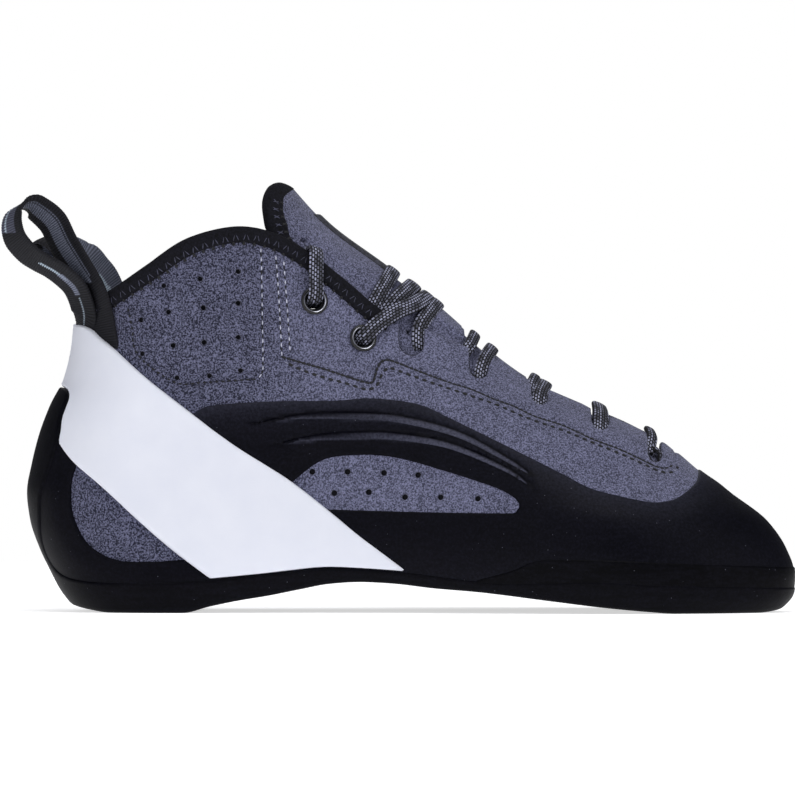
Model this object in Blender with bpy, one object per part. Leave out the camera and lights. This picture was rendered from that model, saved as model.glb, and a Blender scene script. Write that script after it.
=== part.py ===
"""Climbing shoe for the left foot: lasted suede upper, rubber sole, rand and heel band.

Metres, +Z up. The toe points along +X and the inner side of the foot faces -Y.
The origin is on the floor under the middle of the heel.
"""

import math

import bmesh
import bpy
from mathutils import Vector

MM = 0.001

# Driving sizes
LENGTH = 265.0 * MM
HEIGHT = 148.0 * MM
BALL_WIDTH = 91.0 * MM
HEEL_WIDTH = 59.0 * MM
ANKLE_WIDTH = 62.0 * MM
ARCH_RISE = 10.6 * MM
WALL = 2.0 * MM
GAP = 0.3 * MM
SOLE_THICKNESS = 4.5 * MM
SOLE_EDGE = 2.2 * MM
RAND_THICKNESS = 1.7 * MM
TOE_RAND_THICKNESS = 2.1 * MM
BAND_THICKNESS = 2.2 * MM
GROOVE_DEPTH = 1.0 * MM
INSOLE_THICKNESS = 2.4 * MM
INSOLE_MARGIN = 0.6 * MM
TONGUE_THICKNESS = 2.0 * MM
TONGUE_FACE = -(WALL + 0.9 * MM)
TONGUE_BINDING_OVER = 0.5 * MM
BINDING_HEIGHT = 5.0 * MM
BINDING_OVER = 0.9 * MM
COLLAR_STEP = 1.0 * MM
BADGE_THICKNESS = 1.3 * MM
BADGE_LIFT = 0.7 * MM
BADGE_HALF_WIDTH = 10.0 * MM
EYELET_RADIUS = 4.6 * MM
EYELET_BORE = 2.3 * MM
EYELET_BARREL = 2.9 * MM
EYELET_FLANGE = 0.8 * MM
EYELET_ROUND = 0.3 * MM
EYELET_SHOULDER = 0.7
LACE_WIDTH = 5.2 * MM
LACE_THICKNESS = 1.4 * MM
LACE_CORD = 3.4 * MM
LACE_LIFT = 0.6 * MM
WEBBING_WIDTH = 13.0 * MM
WEBBING_THICKNESS = 1.6 * MM

# How finely the forms are divided
SIDE_STEPS = 16
CURVE_STEPS = 2
EYELET_STEPS = 10
FAR = 0.45 * LENGTH

# The last's level outlines, heel to toe. Shares of HEIGHT: height. Shares of LENGTH: back, front,
# nose (length of the front rounding) and seat (length of the back rounding). ankle blends the sole's
# widths into the ankle's, and swell widens the wall over the sole's edge.
LEVELS = [
    # height, back, front, nose, seat, ankle, swell
    (0.000, -0.092, 0.812, 0.270, 0.118, 0.00, 0.92),
    (0.040, -0.109, 0.829, 0.272, 0.118, 0.00, 0.97),
    (0.081, -0.121, 0.831, 0.280, 0.122, 0.00, 1.00),
    (0.135, -0.135, 0.822, 0.295, 0.126, 0.00, 1.02),
    (0.203, -0.147, 0.798, 0.315, 0.130, 0.02, 1.02),
    (0.270, -0.151, 0.750, 0.340, 0.130, 0.12, 1.01),
    (0.338, -0.145, 0.706, 0.355, 0.126, 0.28, 1.00),
    (0.405, -0.136, 0.661, 0.360, 0.122, 0.46, 1.00),
    (0.473, -0.122, 0.583, 0.355, 0.116, 0.66, 1.00),
    (0.541, -0.103, 0.503, 0.345, 0.110, 0.84, 1.00),
    (0.622, -0.093, 0.440, 0.330, 0.104, 0.96, 1.00),
    (0.709, -0.089, 0.385, 0.295, 0.100, 1.00, 1.00),
    (0.811, -0.086, 0.312, 0.235, 0.100, 1.00, 1.01),
    (0.912, -0.083, 0.236, 0.200, 0.100, 1.00, 1.03),
    (1.014, -0.079, 0.183, 0.180, 0.100, 1.00, 1.03),
]

# Heights of the rows of facets that every wall on the last shares, as shares of HEIGHT.
ROWS = [
    0.070, 0.125, 0.190, 0.260, 0.330, 0.400, 0.470, 0.540, 0.620, 0.710, 0.800, 0.890, 0.950, 1.010,
]

# The sole's plan. Shares of LENGTH: place. Shares of BALL_WIDTH: centre, to the outer side, and half.
PLAN = [
    # place, centre, half
    (-0.160, 0.000, 0.325),
    (0.000, 0.006, 0.330),
    (0.094, 0.022, 0.336),
    (0.189, 0.044, 0.350),
    (0.302, 0.060, 0.388),
    (0.415, 0.050, 0.445),
    (0.528, 0.028, 0.493),
    (0.604, 0.000, 0.500),
    (0.698, -0.040, 0.473),
    (0.774, -0.088, 0.418),
    (0.838, -0.132, 0.363),
]

# Rise of the sole's underside. Shares of LENGTH: place. Shares of ARCH_RISE: rise.
ARCH = [
    (-0.160, 0.70),
    (-0.113, 0.34),
    (-0.075, 0.10),
    (-0.045, 0.00),
    (0.045, 0.00),
    (0.078, 0.20),
    (0.117, 0.40),
    (0.156, 0.56),
    (0.196, 0.76),
    (0.235, 0.94),
    (0.274, 1.00),
    (0.313, 0.96),
    (0.372, 0.80),
    (0.430, 0.68),
    (0.528, 0.38),
    (0.587, 0.20),
    (0.645, 0.06),
    (0.680, 0.00),
    (0.785, 0.00),
    (0.821, 0.12),
    (0.860, 0.30),
]
ARCH_FADE_HEIGHT = 0.47
# Share of LENGTH ahead of the origin over which the heel's width turns into the plan's.
HEEL_BLEND = 0.25
# Step for a direction on the last, as a share of a turn and of HEIGHT.
NORMAL_STEP = 0.004
FLAT_BASE = 12.0 * MM
# The sole's rounded foot: shares of SOLE_THICKNESS and SOLE_EDGE.
SOLE_FOOT = [(0.00, 0.55), (0.20, 0.91), (0.58, 1.12)]

# Edges of the panels in side view. Shares of LENGTH and of HEIGHT.
COLLAR_EDGE = [
    (-0.200, 0.690), (-0.081, 0.727), (-0.050, 0.752), (0.000, 0.808), (0.052, 0.867),
    (0.117, 0.897), (0.169, 0.881), (0.215, 0.834), (0.261, 0.769), (0.306, 0.703),
    (0.365, 0.655), (0.416, 0.616), (0.460, 0.590), (0.520, 0.570),
]
COLLAR_BINDING_END = 0.318
BAND_FRONT = [
    (-0.220, 0.690), (-0.098, 0.672), (-0.061, 0.630), (-0.001, 0.542), (0.104, 0.400),
    (0.185, 0.306), (0.272, 0.182), (0.342, 0.086), (0.352, 0.060),
]
BAND_BACK = [
    (-0.119, 0.395), (-0.098, 0.348), (-0.056, 0.285), (0.017, 0.168), (0.081, 0.077), (0.100, 0.050),
]
WRAP_EDGE = [
    (-0.220, 0.530), (-0.113, 0.523), (-0.115, 0.451), (-0.119, 0.395), (-0.124, 0.362),
    (-0.133, 0.315), (-0.141, 0.271), (-0.142, 0.206), (-0.140, 0.159), (-0.130, 0.114),
    (-0.112, 0.084), (-0.080, 0.072), (-0.030, 0.069), (0.017, 0.070), (0.081, 0.077),
]
SOLE_TOP = [
    (0.081, 0.077), (0.150, 0.089), (0.222, 0.103), (0.274, 0.101), (0.342, 0.092), (0.404, 0.078),
    (0.456, 0.070), (0.519, 0.072), (0.587, 0.075), (0.652, 0.068), (0.717, 0.065),
    (0.795, 0.061), (0.900, 0.058),
]
HEEL_WINDOW = [
    (-0.096, 0.343), (-0.102, 0.306), (-0.103, 0.259), (-0.098, 0.213), (-0.078, 0.154),
    (-0.033, 0.119), (0.049, 0.124),
]
RAND_TOP = [
    (0.030, 0.445), (0.061, 0.463), (0.083, 0.480), (0.155, 0.490), (0.239, 0.493), (0.289, 0.500),
    (0.349, 0.488), (0.394, 0.453), (0.454, 0.400), (0.535, 0.329), (0.576, 0.293), (0.640, 0.267),
    (0.666, 0.265), (0.687, 0.275), (0.712, 0.310), (0.740, 0.380), (0.900, 0.420),
]
# Corners that close the rand, the heel's frame and the windows under the band and the sole.
RAND_REST = [(0.90, 0.02), (0.29, 0.02), (0.20, 0.18), (0.06, 0.38)]
HEEL_RAND = [(-0.20, 0.02), (0.16, 0.02), (0.10, 0.20), (-0.10, 0.44), (-0.20, 0.44)]
HEEL_WINDOW_REST = [(0.12, 0.14), (-0.05, 0.38)]
ARCH_WINDOW_REST = [(0.16, 0.27)]
TOE_RAND_TOP = [
    (0.425, 0.078), (0.470, 0.100), (0.508, 0.124), (0.600, 0.124), (0.700, 0.116), (0.833, 0.107),
    (0.900, 0.106),
]
ARCH_WINDOW = [
    (0.185, 0.300), (0.222, 0.350), (0.257, 0.364), (0.312, 0.362), (0.379, 0.332), (0.442, 0.297),
    (0.467, 0.276), (0.478, 0.257), (0.473, 0.238), (0.462, 0.234), (0.342, 0.236), (0.200, 0.243),
]
GROOVES = [
    [(0.130, 0.430), (0.180, 0.449), (0.229, 0.457), (0.279, 0.457), (0.330, 0.449), (0.404, 0.413),
     (0.472, 0.346), (0.500, 0.308)],
    [(0.158, 0.380), (0.192, 0.397), (0.229, 0.408), (0.267, 0.412), (0.317, 0.411), (0.391, 0.388),
     (0.467, 0.327), (0.502, 0.278)],
]
GROOVE_WIDTH = 2.6 * MM
TONGUE_BACK = [
    (0.178, 1.002), (0.165, 0.997), (0.152, 0.978), (0.148, 0.940), (0.152, 0.902), (0.163, 0.860),
    (0.200, 0.770), (0.270, 0.655), (0.350, 0.560), (0.450, 0.470), (0.550, 0.385), (0.620, 0.325),
    (0.680, 0.285), (0.715, 0.270),
]
TONGUE_AHEAD = [(0.80, 0.27), (0.80, 1.20), (0.19, 1.20)]
TONGUE_BINDING_BEHIND = [(0.10, 1.20), (0.20, 1.20)]
TONGUE_BINDING_EDGE = [
    (0.200, 1.040), (0.187, 0.985), (0.177, 0.953), (0.178, 0.912), (0.187, 0.872), (0.212, 0.815),
]
BADGE_SPAN = (0.795, 0.935)
EYELETS = [(0.215, 0.722), (0.278, 0.636)]
NOTCHES = [
    # place, foot height, half width as a share of LENGTH
    (0.343, 0.600, 0.0185),
    (0.432, 0.553, 0.0174),
    (0.507, 0.492, 0.0158),
    (0.586, 0.432, 0.0143),
    (0.655, 0.372, 0.0128),
]
NOTCH_REACH = 0.21
THROAT_FOOT = 0.32
THROAT = [
    # place, half width, shares of LENGTH
    (0.360, 0.060), (0.410, 0.042), (0.470, 0.030), (0.550, 0.024), (0.610, 0.019), (0.650, 0.014),
    (0.668, 0.007), (0.671, 0.000),
]


def smooth_table(rows, key, column):
    """Value of a column at a key, on a smooth curve that doesn't overshoot its rows."""
    last = len(rows) - 1
    if key <= rows[0][0]:
        return rows[0][column]
    if key >= rows[last][0]:
        return rows[last][column]
    i = next(k for k in range(last) if rows[k + 1][0] >= key)

    def slope(k):
        if k <= 0:
            return chord(0)
        if k >= last:
            return chord(last - 1)
        before = chord(k - 1)
        after = chord(k)
        if before * after <= 0.0:
            return 0.0
        return 2.0 * before * after / (before + after)

    def chord(k):
        return (rows[k + 1][column] - rows[k][column]) / (rows[k + 1][0] - rows[k][0])

    span = rows[i + 1][0] - rows[i][0]
    t = (key - rows[i][0]) / span
    a = rows[i][column]
    b = rows[i + 1][column]
    rise = b - a
    start = slope(i) * span
    end = slope(i + 1) * span
    return a + t * (start + t * (3 * rise - 2 * start - end + t * (start + end - 2 * rise)))


def smooth_line(points, steps=CURVE_STEPS):
    """Points along a smooth line through the given ones."""
    line = []
    last = len(points) - 1
    for i in range(last):
        p0 = Vector(points[max(i - 1, 0)])
        p1 = Vector(points[i])
        p2 = Vector(points[i + 1])
        p3 = Vector(points[min(i + 2, last)])
        for k in range(steps):
            t = k / steps
            line.append(0.5 * (2 * p1 + (p2 - p0) * t + (2 * p0 - 5 * p1 + 4 * p2 - p3) * t * t
                               + (3 * p1 - p0 - 3 * p2 + p3) * t * t * t))
    line.append(Vector(points[last]))
    return line


def side_line(shares, steps=CURVE_STEPS):
    """A side-view line in metres from its shares of length and height."""
    return smooth_line([(x * LENGTH, z * HEIGHT) for x, z in shares], steps)


def half_width(x, level):
    """Centre line and half width of the last at a place and a level height."""
    share = level / HEIGHT
    back = smooth_table(LEVELS, share, 1) * LENGTH
    front = smooth_table(LEVELS, share, 2) * LENGTH
    nose = smooth_table(LEVELS, share, 3) * LENGTH
    seat = smooth_table(LEVELS, share, 4) * LENGTH
    ankle = smooth_table(LEVELS, share, 5)
    swell = smooth_table(LEVELS, share, 6)
    centre = smooth_table(PLAN, x / LENGTH, 1) * BALL_WIDTH
    sole = smooth_table(PLAN, x / LENGTH, 2) * BALL_WIDTH
    heel_share = min(max(1 - x / (HEEL_BLEND * LENGTH), 0.0), 1.0)
    sole += heel_share * (HEEL_WIDTH / 2 - PLAN[0][2] * BALL_WIDTH)
    half = sole * (1 - ankle) + ANKLE_WIDTH / 2 * ankle
    at_nose = min(max((front - x) / nose, 0.0), 1.0)
    at_seat = min(max((x - back) / seat, 0.0), 1.0)
    round_nose = math.sqrt(1 - (1 - at_nose) ** 2)
    round_seat = math.sqrt(1 - (1 - at_seat) ** 2)
    return centre, half * swell * round_nose * round_seat


def arch(x):
    """Height of the sole's underside at a place."""
    return smooth_table(ARCH, x / LENGTH, 1) * ARCH_RISE


def raised(x, level):
    """Height of a level over the arch, which fades out up the wall."""
    fade = max(1 - level / (ARCH_FADE_HEIGHT * HEIGHT), 0.0)
    return level + arch(x) * fade * fade


def level_at(x, height):
    """The level that passes through a height at a place."""
    low = 0.0
    high = HEIGHT * 1.1
    for _ in range(40):
        middle = (low + high) / 2
        if raised(x, middle) < height:
            low = middle
        else:
            high = middle
    return low


def last_point(level, turn):
    """Point on the last. turn runs 0 to 1 heel to toe on the inner side, then 1 to 2 back."""
    share = level / HEIGHT
    back = smooth_table(LEVELS, share, 1) * LENGTH
    front = smooth_table(LEVELS, share, 2) * LENGTH
    side = -1.0 if turn <= 1.0 else 1.0
    along = turn if turn <= 1.0 else 2.0 - turn
    x = back + (front - back) * (1 - math.cos(math.pi * along)) / 2
    centre, half = half_width(x, level)
    return Vector((x, centre + side * half, raised(x, level)))


def last_normal(level, turn):
    """Outward direction of the last at a level and turn."""
    rise = NORMAL_STEP * HEIGHT
    ahead = last_point(level, (turn + NORMAL_STEP) % 2.0)
    behind = last_point(level, (turn - NORMAL_STEP) % 2.0)
    low = max(level - rise, 0.0)
    up = last_point(level + rise, turn) - last_point(low, turn)
    normal = (ahead - behind).cross(up).normalized()
    normal.z *= min(level / FLAT_BASE, 1.0)
    return normal.normalized()


def skin(level, turn, offset):
    """Point at an offset from the last."""
    return last_point(level, turn) + last_normal(level, turn) * offset


def skin_at(x, height, side, offset):
    """Point and outward direction on one side of the last, at a place and height."""
    level = level_at(x, height)
    share = level / HEIGHT
    back = smooth_table(LEVELS, share, 1) * LENGTH
    front = smooth_table(LEVELS, share, 2) * LENGTH
    along = math.acos(min(max(1 - 2 * (x - back) / (front - back), -1.0), 1.0)) / math.pi
    turn = along if side < 0 else 2.0 - along
    normal = last_normal(level, turn)
    return last_point(level, turn) + normal * offset, normal


def ridge_skin(x, y, offset):
    """Point and outward direction on the top of the last over a place in plan."""
    low = 0.2 * HEIGHT
    high = HEIGHT * 1.012
    for _ in range(40):
        middle = (low + high) / 2
        centre, half = half_width(x, middle)
        if half > abs(y - centre):
            low = middle
        else:
            high = middle
    share = low / HEIGHT
    back = smooth_table(LEVELS, share, 1) * LENGTH
    front = smooth_table(LEVELS, share, 2) * LENGTH
    along = math.acos(min(max(1 - 2 * (x - back) / (front - back), -1.0), 1.0)) / math.pi
    centre, _ = half_width(x, low)
    turn = along if y <= centre else 2.0 - along
    normal = last_normal(low, turn)
    return last_point(low, turn) + normal * offset, normal


def material(name, colour, roughness, metallic=0.0):
    """A plain material in a linear colour."""
    made = bpy.data.materials.new(name)
    made.use_nodes = True
    shader = made.node_tree.nodes["Principled BSDF"]
    shader.inputs["Base Color"].default_value = (*colour, 1.0)
    shader.inputs["Roughness"].default_value = roughness
    shader.inputs["Metallic"].default_value = metallic
    return made


def mesh_object(name, points, faces, look=None):
    """An object from points and faces, with its faces turned outward."""
    mesh = bpy.data.meshes.new(name)
    mesh.from_pydata([tuple(p) for p in points], [], faces)
    work = bmesh.new()
    work.from_mesh(mesh)
    bmesh.ops.recalc_face_normals(work, faces=work.faces)
    work.to_mesh(mesh)
    work.free()
    made = bpy.data.objects.new(name, mesh)
    bpy.context.scene.collection.objects.link(made)
    if look:
        mesh.materials.append(look)
    return made


def guide(made):
    """Marks an object as a cutter."""
    made.hide_render = True
    made.display_type = "WIRE"
    return made


def wall_levels(low, high):
    """Level heights of a wall: its foot over the sole, then the shared rows between two shares."""
    foot = [SOLE_THICKNESS + GAP] if low == 0.0 else []
    return foot + [row * HEIGHT for row in ROWS if low <= row <= high]


def turns():
    """Turn values once round the last."""
    return [k / SIDE_STEPS for k in range(2 * SIDE_STEPS)]


def split(a, b, c, d):
    """Two triangles of a facet, on the diagonal that all walls share, so they stay parallel."""
    return [(a, b, c), (a, c, d)]


def skin_shell(name, levels, inner, outer, look=None):
    """Closed wall between two offsets of the last, open at the top and underneath."""
    around = turns()
    count = len(around)
    points = []
    for offset in (outer, inner):
        for level in levels:
            points += [skin(level, turn, offset) for turn in around]
    rows = len(levels)
    faces = []
    for k in range(count):
        n = (k + 1) % count
        for row in range(rows - 1):
            a = row * count
            b = a + rows * count
            faces += split(a + k, a + n, a + count + n, a + count + k)
            faces += split(b + k, b + n, b + count + n, b + count + k)
        top = (rows - 1) * count
        inside = rows * count
        faces.append((k, inside + k, inside + n, n))
        faces.append((top + k, top + n, top + inside + n, top + inside + k))
    return mesh_object(name, points, faces, look)


def skin_form(name, levels, offsets, look=None):
    """Closed solid form of the last, capped flat across at both ends."""
    around = turns()
    count = len(around)
    points = []
    for level, offset in zip(levels, offsets):
        points += [skin(level, turn, offset) for turn in around]
    faces = []
    for row in range(len(levels) - 1):
        a = row * count
        for k in range(count):
            n = (k + 1) % count
            faces += split(a + k, a + n, a + count + n, a + count + k)
    for base in (0, (len(levels) - 1) * count):
        for k in range(SIDE_STEPS):
            inner = (base + k, base + k + 1)
            outer = (base + (count - k) % count, base + count - k - 1)
            if k == 0:
                faces.append((inner[0], inner[1], outer[1]))
            elif k == SIDE_STEPS - 1:
                faces.append((inner[0], inner[1], outer[0]))
            else:
                faces.append((inner[0], inner[1], outer[1], outer[0]))
    return mesh_object(name, points, faces, look)


def shifted(line, distance):
    """A side-view line moved to its left by a distance."""
    moved = []
    for i, point in enumerate(line):
        before = line[max(i - 1, 0)]
        after = line[min(i + 1, len(line) - 1)]
        along = (after - before).normalized()
        moved.append(point + Vector((-along.y, along.x)) * distance)
    return moved


def side_prism(name, outline, low=-FAR, high=FAR):
    """A cutter: a side-view outline in metres, extruded across the shoe."""
    count = len(outline)
    points = [(p[0], low, p[1]) for p in outline] + [(p[0], high, p[1]) for p in outline]
    faces = [tuple(range(count)), tuple(range(2 * count - 1, count - 1, -1))]
    for k in range(count):
        n = (k + 1) % count
        faces.append((k, n, count + n, count + k))
    return guide(mesh_object(name, points, faces))


def boolean(target, cutter, operation):
    """Applies a Boolean on the target at once."""
    step = target.modifiers.new(operation.lower(), "BOOLEAN")
    step.object = cutter
    step.operation = operation
    step.solver = "EXACT"
    bpy.context.view_layer.update()
    graph = bpy.context.evaluated_depsgraph_get()
    result = bpy.data.meshes.new_from_object(target.evaluated_get(graph))
    target.modifiers.clear()
    old = target.data
    target.data = result
    bpy.data.meshes.remove(old)
    return target


def keep(target, cutter):
    """Keeps what is inside the cutter."""
    return boolean(target, cutter, "INTERSECT")


def cut(target, cutter):
    """Removes what is inside the cutter."""
    return boolean(target, cutter, "DIFFERENCE")


def tidy(target):
    """Removes loose crumbs and doubled points that cuts leave."""
    work = bmesh.new()
    work.from_mesh(target.data)
    bmesh.ops.remove_doubles(work, verts=work.verts, dist=0.01 * MM)
    bmesh.ops.dissolve_degenerate(work, edges=work.edges, dist=0.01 * MM)
    work.to_mesh(target.data)
    work.free()
    target.data.shade_smooth()
    target.data.set_sharp_from_angle(angle=math.radians(35))
    return target


def plain_points(shares):
    """Corner points in metres from shares of length and height."""
    return [Vector((x * LENGTH, z * HEIGHT)) for x, z in shares]


def make_looks():
    """One material for each kind of piece."""
    return {
        "suede": material("suede", (0.105, 0.107, 0.165), 0.95),
        "rubber": material("rubber", (0.010, 0.010, 0.015), 0.55),
        "white": material("white rubber", (0.83, 0.84, 0.90), 0.45),
        "knit": material("knit", (0.004, 0.004, 0.008), 0.90),
        "board": material("board", (0.20, 0.20, 0.24), 0.90),
        "metal": material("dark metal", (0.02, 0.02, 0.025), 0.35, 0.9),
        "lace": material("lace", (0.015, 0.015, 0.022), 0.85),
        "webbing": material("webbing", (0.006, 0.006, 0.010), 0.80),
        "badge": material("badge", (0.01, 0.01, 0.012), 0.60),
    }


def sole_region(grow):
    """Side-view outline of the outsole and its wrap up the heel, with its edge moved out."""
    edge = shifted(side_line(WRAP_EDGE)[:-1] + side_line(SOLE_TOP), grow)
    return edge + plain_points([(0.90, -0.2), (-0.22, -0.2)])


def band_region(grow):
    """Side-view outline of the white band, with its long edges moved out."""
    front = shifted(side_line(BAND_FRONT), grow)
    back = shifted(side_line(BAND_BACK), -grow)
    return front + back[::-1] + plain_points([(-0.22, 0.45)])


def toe_rand_region(grow):
    """Side-view outline of the strip round the forefoot, with its upper edge moved out."""
    return shifted(side_line(TOE_RAND_TOP), grow) + plain_points([(0.90, 0.02), (0.40, 0.02)])


def make_outsole(look):
    """Rubber plate with an arch and a raised edge, and the wrap up the back of the heel."""
    low = [share * SOLE_THICKNESS for share, _ in SOLE_FOOT]
    high = wall_levels(0.0, 0.54)
    offsets = [share * SOLE_EDGE for _, share in SOLE_FOOT] + [SOLE_EDGE + GAP] * len(high)
    outer = skin_form("outsole", low + high, offsets, look)
    inside = [SOLE_THICKNESS] + wall_levels(0.0, 0.62)
    inner = guide(skin_form("outsole_inside", inside, [GAP] * len(inside)))
    cut(outer, inner)
    keep(outer, side_prism("outsole_region", sole_region(-GAP / 2)))
    return tidy(outer)


def make_upper(look):
    """The hollow suede wall, with its throat, notches and eyelet holes."""
    levels = wall_levels(0.0, 0.89)
    upper = skin_shell("upper", levels, -WALL, 0.0, look)
    collar = side_line(COLLAR_EDGE)
    lowered = shifted(collar, -(BINDING_HEIGHT + GAP))
    end = COLLAR_BINDING_END * LENGTH
    line = [p for p in lowered if p.x < end]
    line += [p for p in collar if p.x > end + COLLAR_STEP]
    above = plain_points([(0.52, 1.3), (-0.2, 1.3)])
    cut(upper, side_prism("collar_cut", line + above))
    cut(upper, throat_cutter())
    for number, (place, foot, half) in enumerate(NOTCHES):
        cut(upper, notch_cutter(number, place * LENGTH, foot * HEIGHT, half * LENGTH))
    for place, height in EYELETS:
        for side in (-1, 1):
            cut(upper, hole_cutter(place * LENGTH, height * HEIGHT, side))
    return tidy(upper)


def throat_cutter():
    """Upright prism that opens the throat from the collar to the toe."""
    rows = smooth_line([(x * LENGTH, w * LENGTH) for x, w in THROAT])
    outline = []
    for side in (-1, 1):
        part = []
        for point in rows[:-1]:
            centre = smooth_table(PLAN, point.x / LENGTH, 1) * BALL_WIDTH
            part.append((point.x, centre + side * point.y))
        outline += part if side < 0 else part[::-1]
    low = THROAT_FOOT * HEIGHT
    high = low + HEIGHT
    count = len(outline)
    points = [(x, y, low) for x, y in outline] + [(x, y, high) for x, y in outline]
    faces = [tuple(range(count)), tuple(range(2 * count - 1, count - 1, -1))]
    for k in range(count):
        n = (k + 1) % count
        faces.append((k, n, count + n, count + k))
    return guide(mesh_object("throat_cut", points, faces))


def notch_cutter(number, place, foot, half):
    """Slot with a round foot, open at the throat's edge, through both sides."""
    outline = []
    for k in range(7):
        angle = math.pi + math.pi * k / 6
        outline.append((place + half * math.cos(angle), foot + half + half * math.sin(angle)))
    top = foot + NOTCH_REACH * HEIGHT
    outline += [(place + half, top), (place - half, top)]
    return side_prism(f"notch_cut_{number}", outline)


def hole_cutter(place, height, side):
    """Round cutter across the wall at an eyelet."""
    point, normal = skin_at(place, height, side, 0.0)
    radius = EYELET_BARREL + GAP
    reach = 3 * WALL
    profile = [(0.0, -reach), (radius, -reach), (radius, reach), (0.0, reach)]
    return guide(turned("eyelet_hole", point, normal, profile, EYELET_STEPS))


def turned(name, place, axis, profile, steps, look=None):
    """A turned solid: radius and height pairs round an axis. A radius of zero makes a point."""
    across = axis.cross(Vector((0.0, 0.0, 1.0))).normalized()
    up = across.cross(axis).normalized()
    points = []
    rings = []
    for radius, height in profile:
        if radius == 0.0:
            rings.append([len(points)])
            points.append(place + axis * height)
            continue
        ring = []
        for k in range(steps):
            angle = 2 * math.pi * k / steps
            ring.append(len(points))
            points.append(place + axis * height + (across * math.cos(angle) + up * math.sin(angle)) * radius)
        rings.append(ring)
    faces = []
    closed = profile[0][0] > 0.0
    pairs = len(rings) if closed else len(rings) - 1
    for i in range(pairs):
        a = rings[i]
        b = rings[(i + 1) % len(rings)]
        for k in range(steps):
            n = (k + 1) % steps
            if len(a) == 1:
                faces.append((a[0], b[n], b[k]))
            elif len(b) == 1:
                faces.append((a[k], a[n], b[0]))
            else:
                faces.append((a[k], a[n], b[n], b[k]))
    return mesh_object(name, points, faces, look)


def make_insole(look):
    """Thin board inside the wall, on the outsole."""
    base = SOLE_THICKNESS + GAP
    levels = [base, base + INSOLE_THICKNESS]
    inset = -(WALL + INSOLE_MARGIN)
    return tidy(skin_form("insole", levels, [inset, inset], look))


def rubber_shell(name, thickness, top, look):
    """Wall that lies on the upper up to a level share."""
    return skin_shell(name, wall_levels(0.0, top), GAP, GAP + thickness, look)


def trimmed(piece, band=True):
    """Cuts the outsole's and the band's room from a piece of the wall's cover."""
    cut(piece, side_prism("sole_room", sole_region(GAP / 2)))
    if band:
        cut(piece, side_prism("band_room", band_region(GAP / 2)))
    return piece


def make_toe_rand(look):
    """Strip round the forefoot between the outsole's edge and the rand."""
    strip = rubber_shell("toe_rand", TOE_RAND_THICKNESS, 0.19, look)
    keep(strip, side_prism("toe_rand_region", toe_rand_region(-GAP / 2)))
    return tidy(trimmed(strip, False))


def make_rand(look):
    """Rubber over forefoot, toe and midfoot, with the arch window and two grooves."""
    rand = rubber_shell("rand", RAND_THICKNESS, 0.54, look)
    keep(rand, side_prism("rand_region", side_line(RAND_TOP) + plain_points(RAND_REST)))
    trimmed(rand)
    cut(rand, side_prism("toe_rand_room", toe_rand_region(GAP / 2)))
    window = side_line(ARCH_WINDOW) + plain_points(ARCH_WINDOW_REST)
    cut(rand, side_prism("arch_window", window, -FAR, 0.0))
    for number, groove in enumerate(GROOVES):
        cut(rand, groove_cutter(number, groove))
    return tidy(rand)


def groove_cutter(number, shares):
    """Crescent channel in the rubber of the inner side, widest past its middle."""
    line = side_line(shares)
    last = len(line) - 1
    upper = []
    lower = []
    for i, point in enumerate(line):
        share = i / last
        half = GROOVE_WIDTH / 2 * math.sin(math.pi * min(max(share, 0.02), 0.98)) ** 0.7
        along = (line[min(i + 1, last)] - line[max(i - 1, 0)]).normalized()
        across = Vector((-along.y, along.x))
        upper.append(point + across * half)
        lower.append(point - across * half)
    levels = wall_levels(0.19, 0.54)
    floor = GAP + RAND_THICKNESS - GROOVE_DEPTH
    channel = guide(skin_shell(f"groove_cut_{number}", levels, floor, floor + 2 * RAND_THICKNESS))
    keep(channel, side_prism(f"groove_line_{number}", upper + lower[::-1], -FAR, 0.0))
    return channel


def make_band(look):
    """White rubber band from the arch, round the back of the heel."""
    band = rubber_shell("tension_band", BAND_THICKNESS, 0.71, look)
    keep(band, side_prism("band_region", band_region(-GAP / 2)))
    return tidy(trimmed(band, False))


def make_heel_rand(look):
    """Rubber frame round the heel window, between the outsole's wrap and the band."""
    rand = rubber_shell("heel_rand", RAND_THICKNESS, 0.47, look)
    keep(rand, side_prism("heel_rand_region", plain_points(HEEL_RAND)))
    trimmed(rand)
    window = side_line(HEEL_WINDOW) + plain_points(HEEL_WINDOW_REST)
    cut(rand, side_prism("heel_window", window))
    return tidy(rand)


def make_collar_binding(look):
    """Knit edge on the top of the upper."""
    ring = skin_shell("collar_binding", wall_levels(0.62, 0.95), -WALL, BINDING_OVER, look)
    collar = [p for p in side_line(COLLAR_EDGE) if p.x < COLLAR_BINDING_END * LENGTH - GAP]
    low = shifted(collar, -BINDING_HEIGHT)
    keep(ring, side_prism("collar_region", collar + low[::-1]))
    cut(ring, throat_cutter())
    return tidy(ring)


def make_tongue(look):
    """Padded tongue under the throat, standing over the collar."""
    tongue = skin_shell("tongue", wall_levels(0.26, 1.01), TONGUE_FACE - TONGUE_THICKNESS, TONGUE_FACE, look)
    keep(tongue, side_prism("tongue_region", side_line(TONGUE_BACK) + plain_points(TONGUE_AHEAD)))
    cut(tongue, side_prism("tongue_binding_room", binding_outline(GAP)))
    return tidy(tongue)


def binding_outline(grow):
    """Side-view outline of the room for the strip along the tongue's top and back."""
    edge = shifted(side_line(TONGUE_BINDING_EDGE), grow)
    foot = TONGUE_BINDING_EDGE[-1][1] * HEIGHT - grow
    behind = plain_points(TONGUE_BINDING_BEHIND)
    below = [Vector((edge[-1].x, foot)), Vector((behind[0].x, foot))]
    return edge + below + behind


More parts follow.
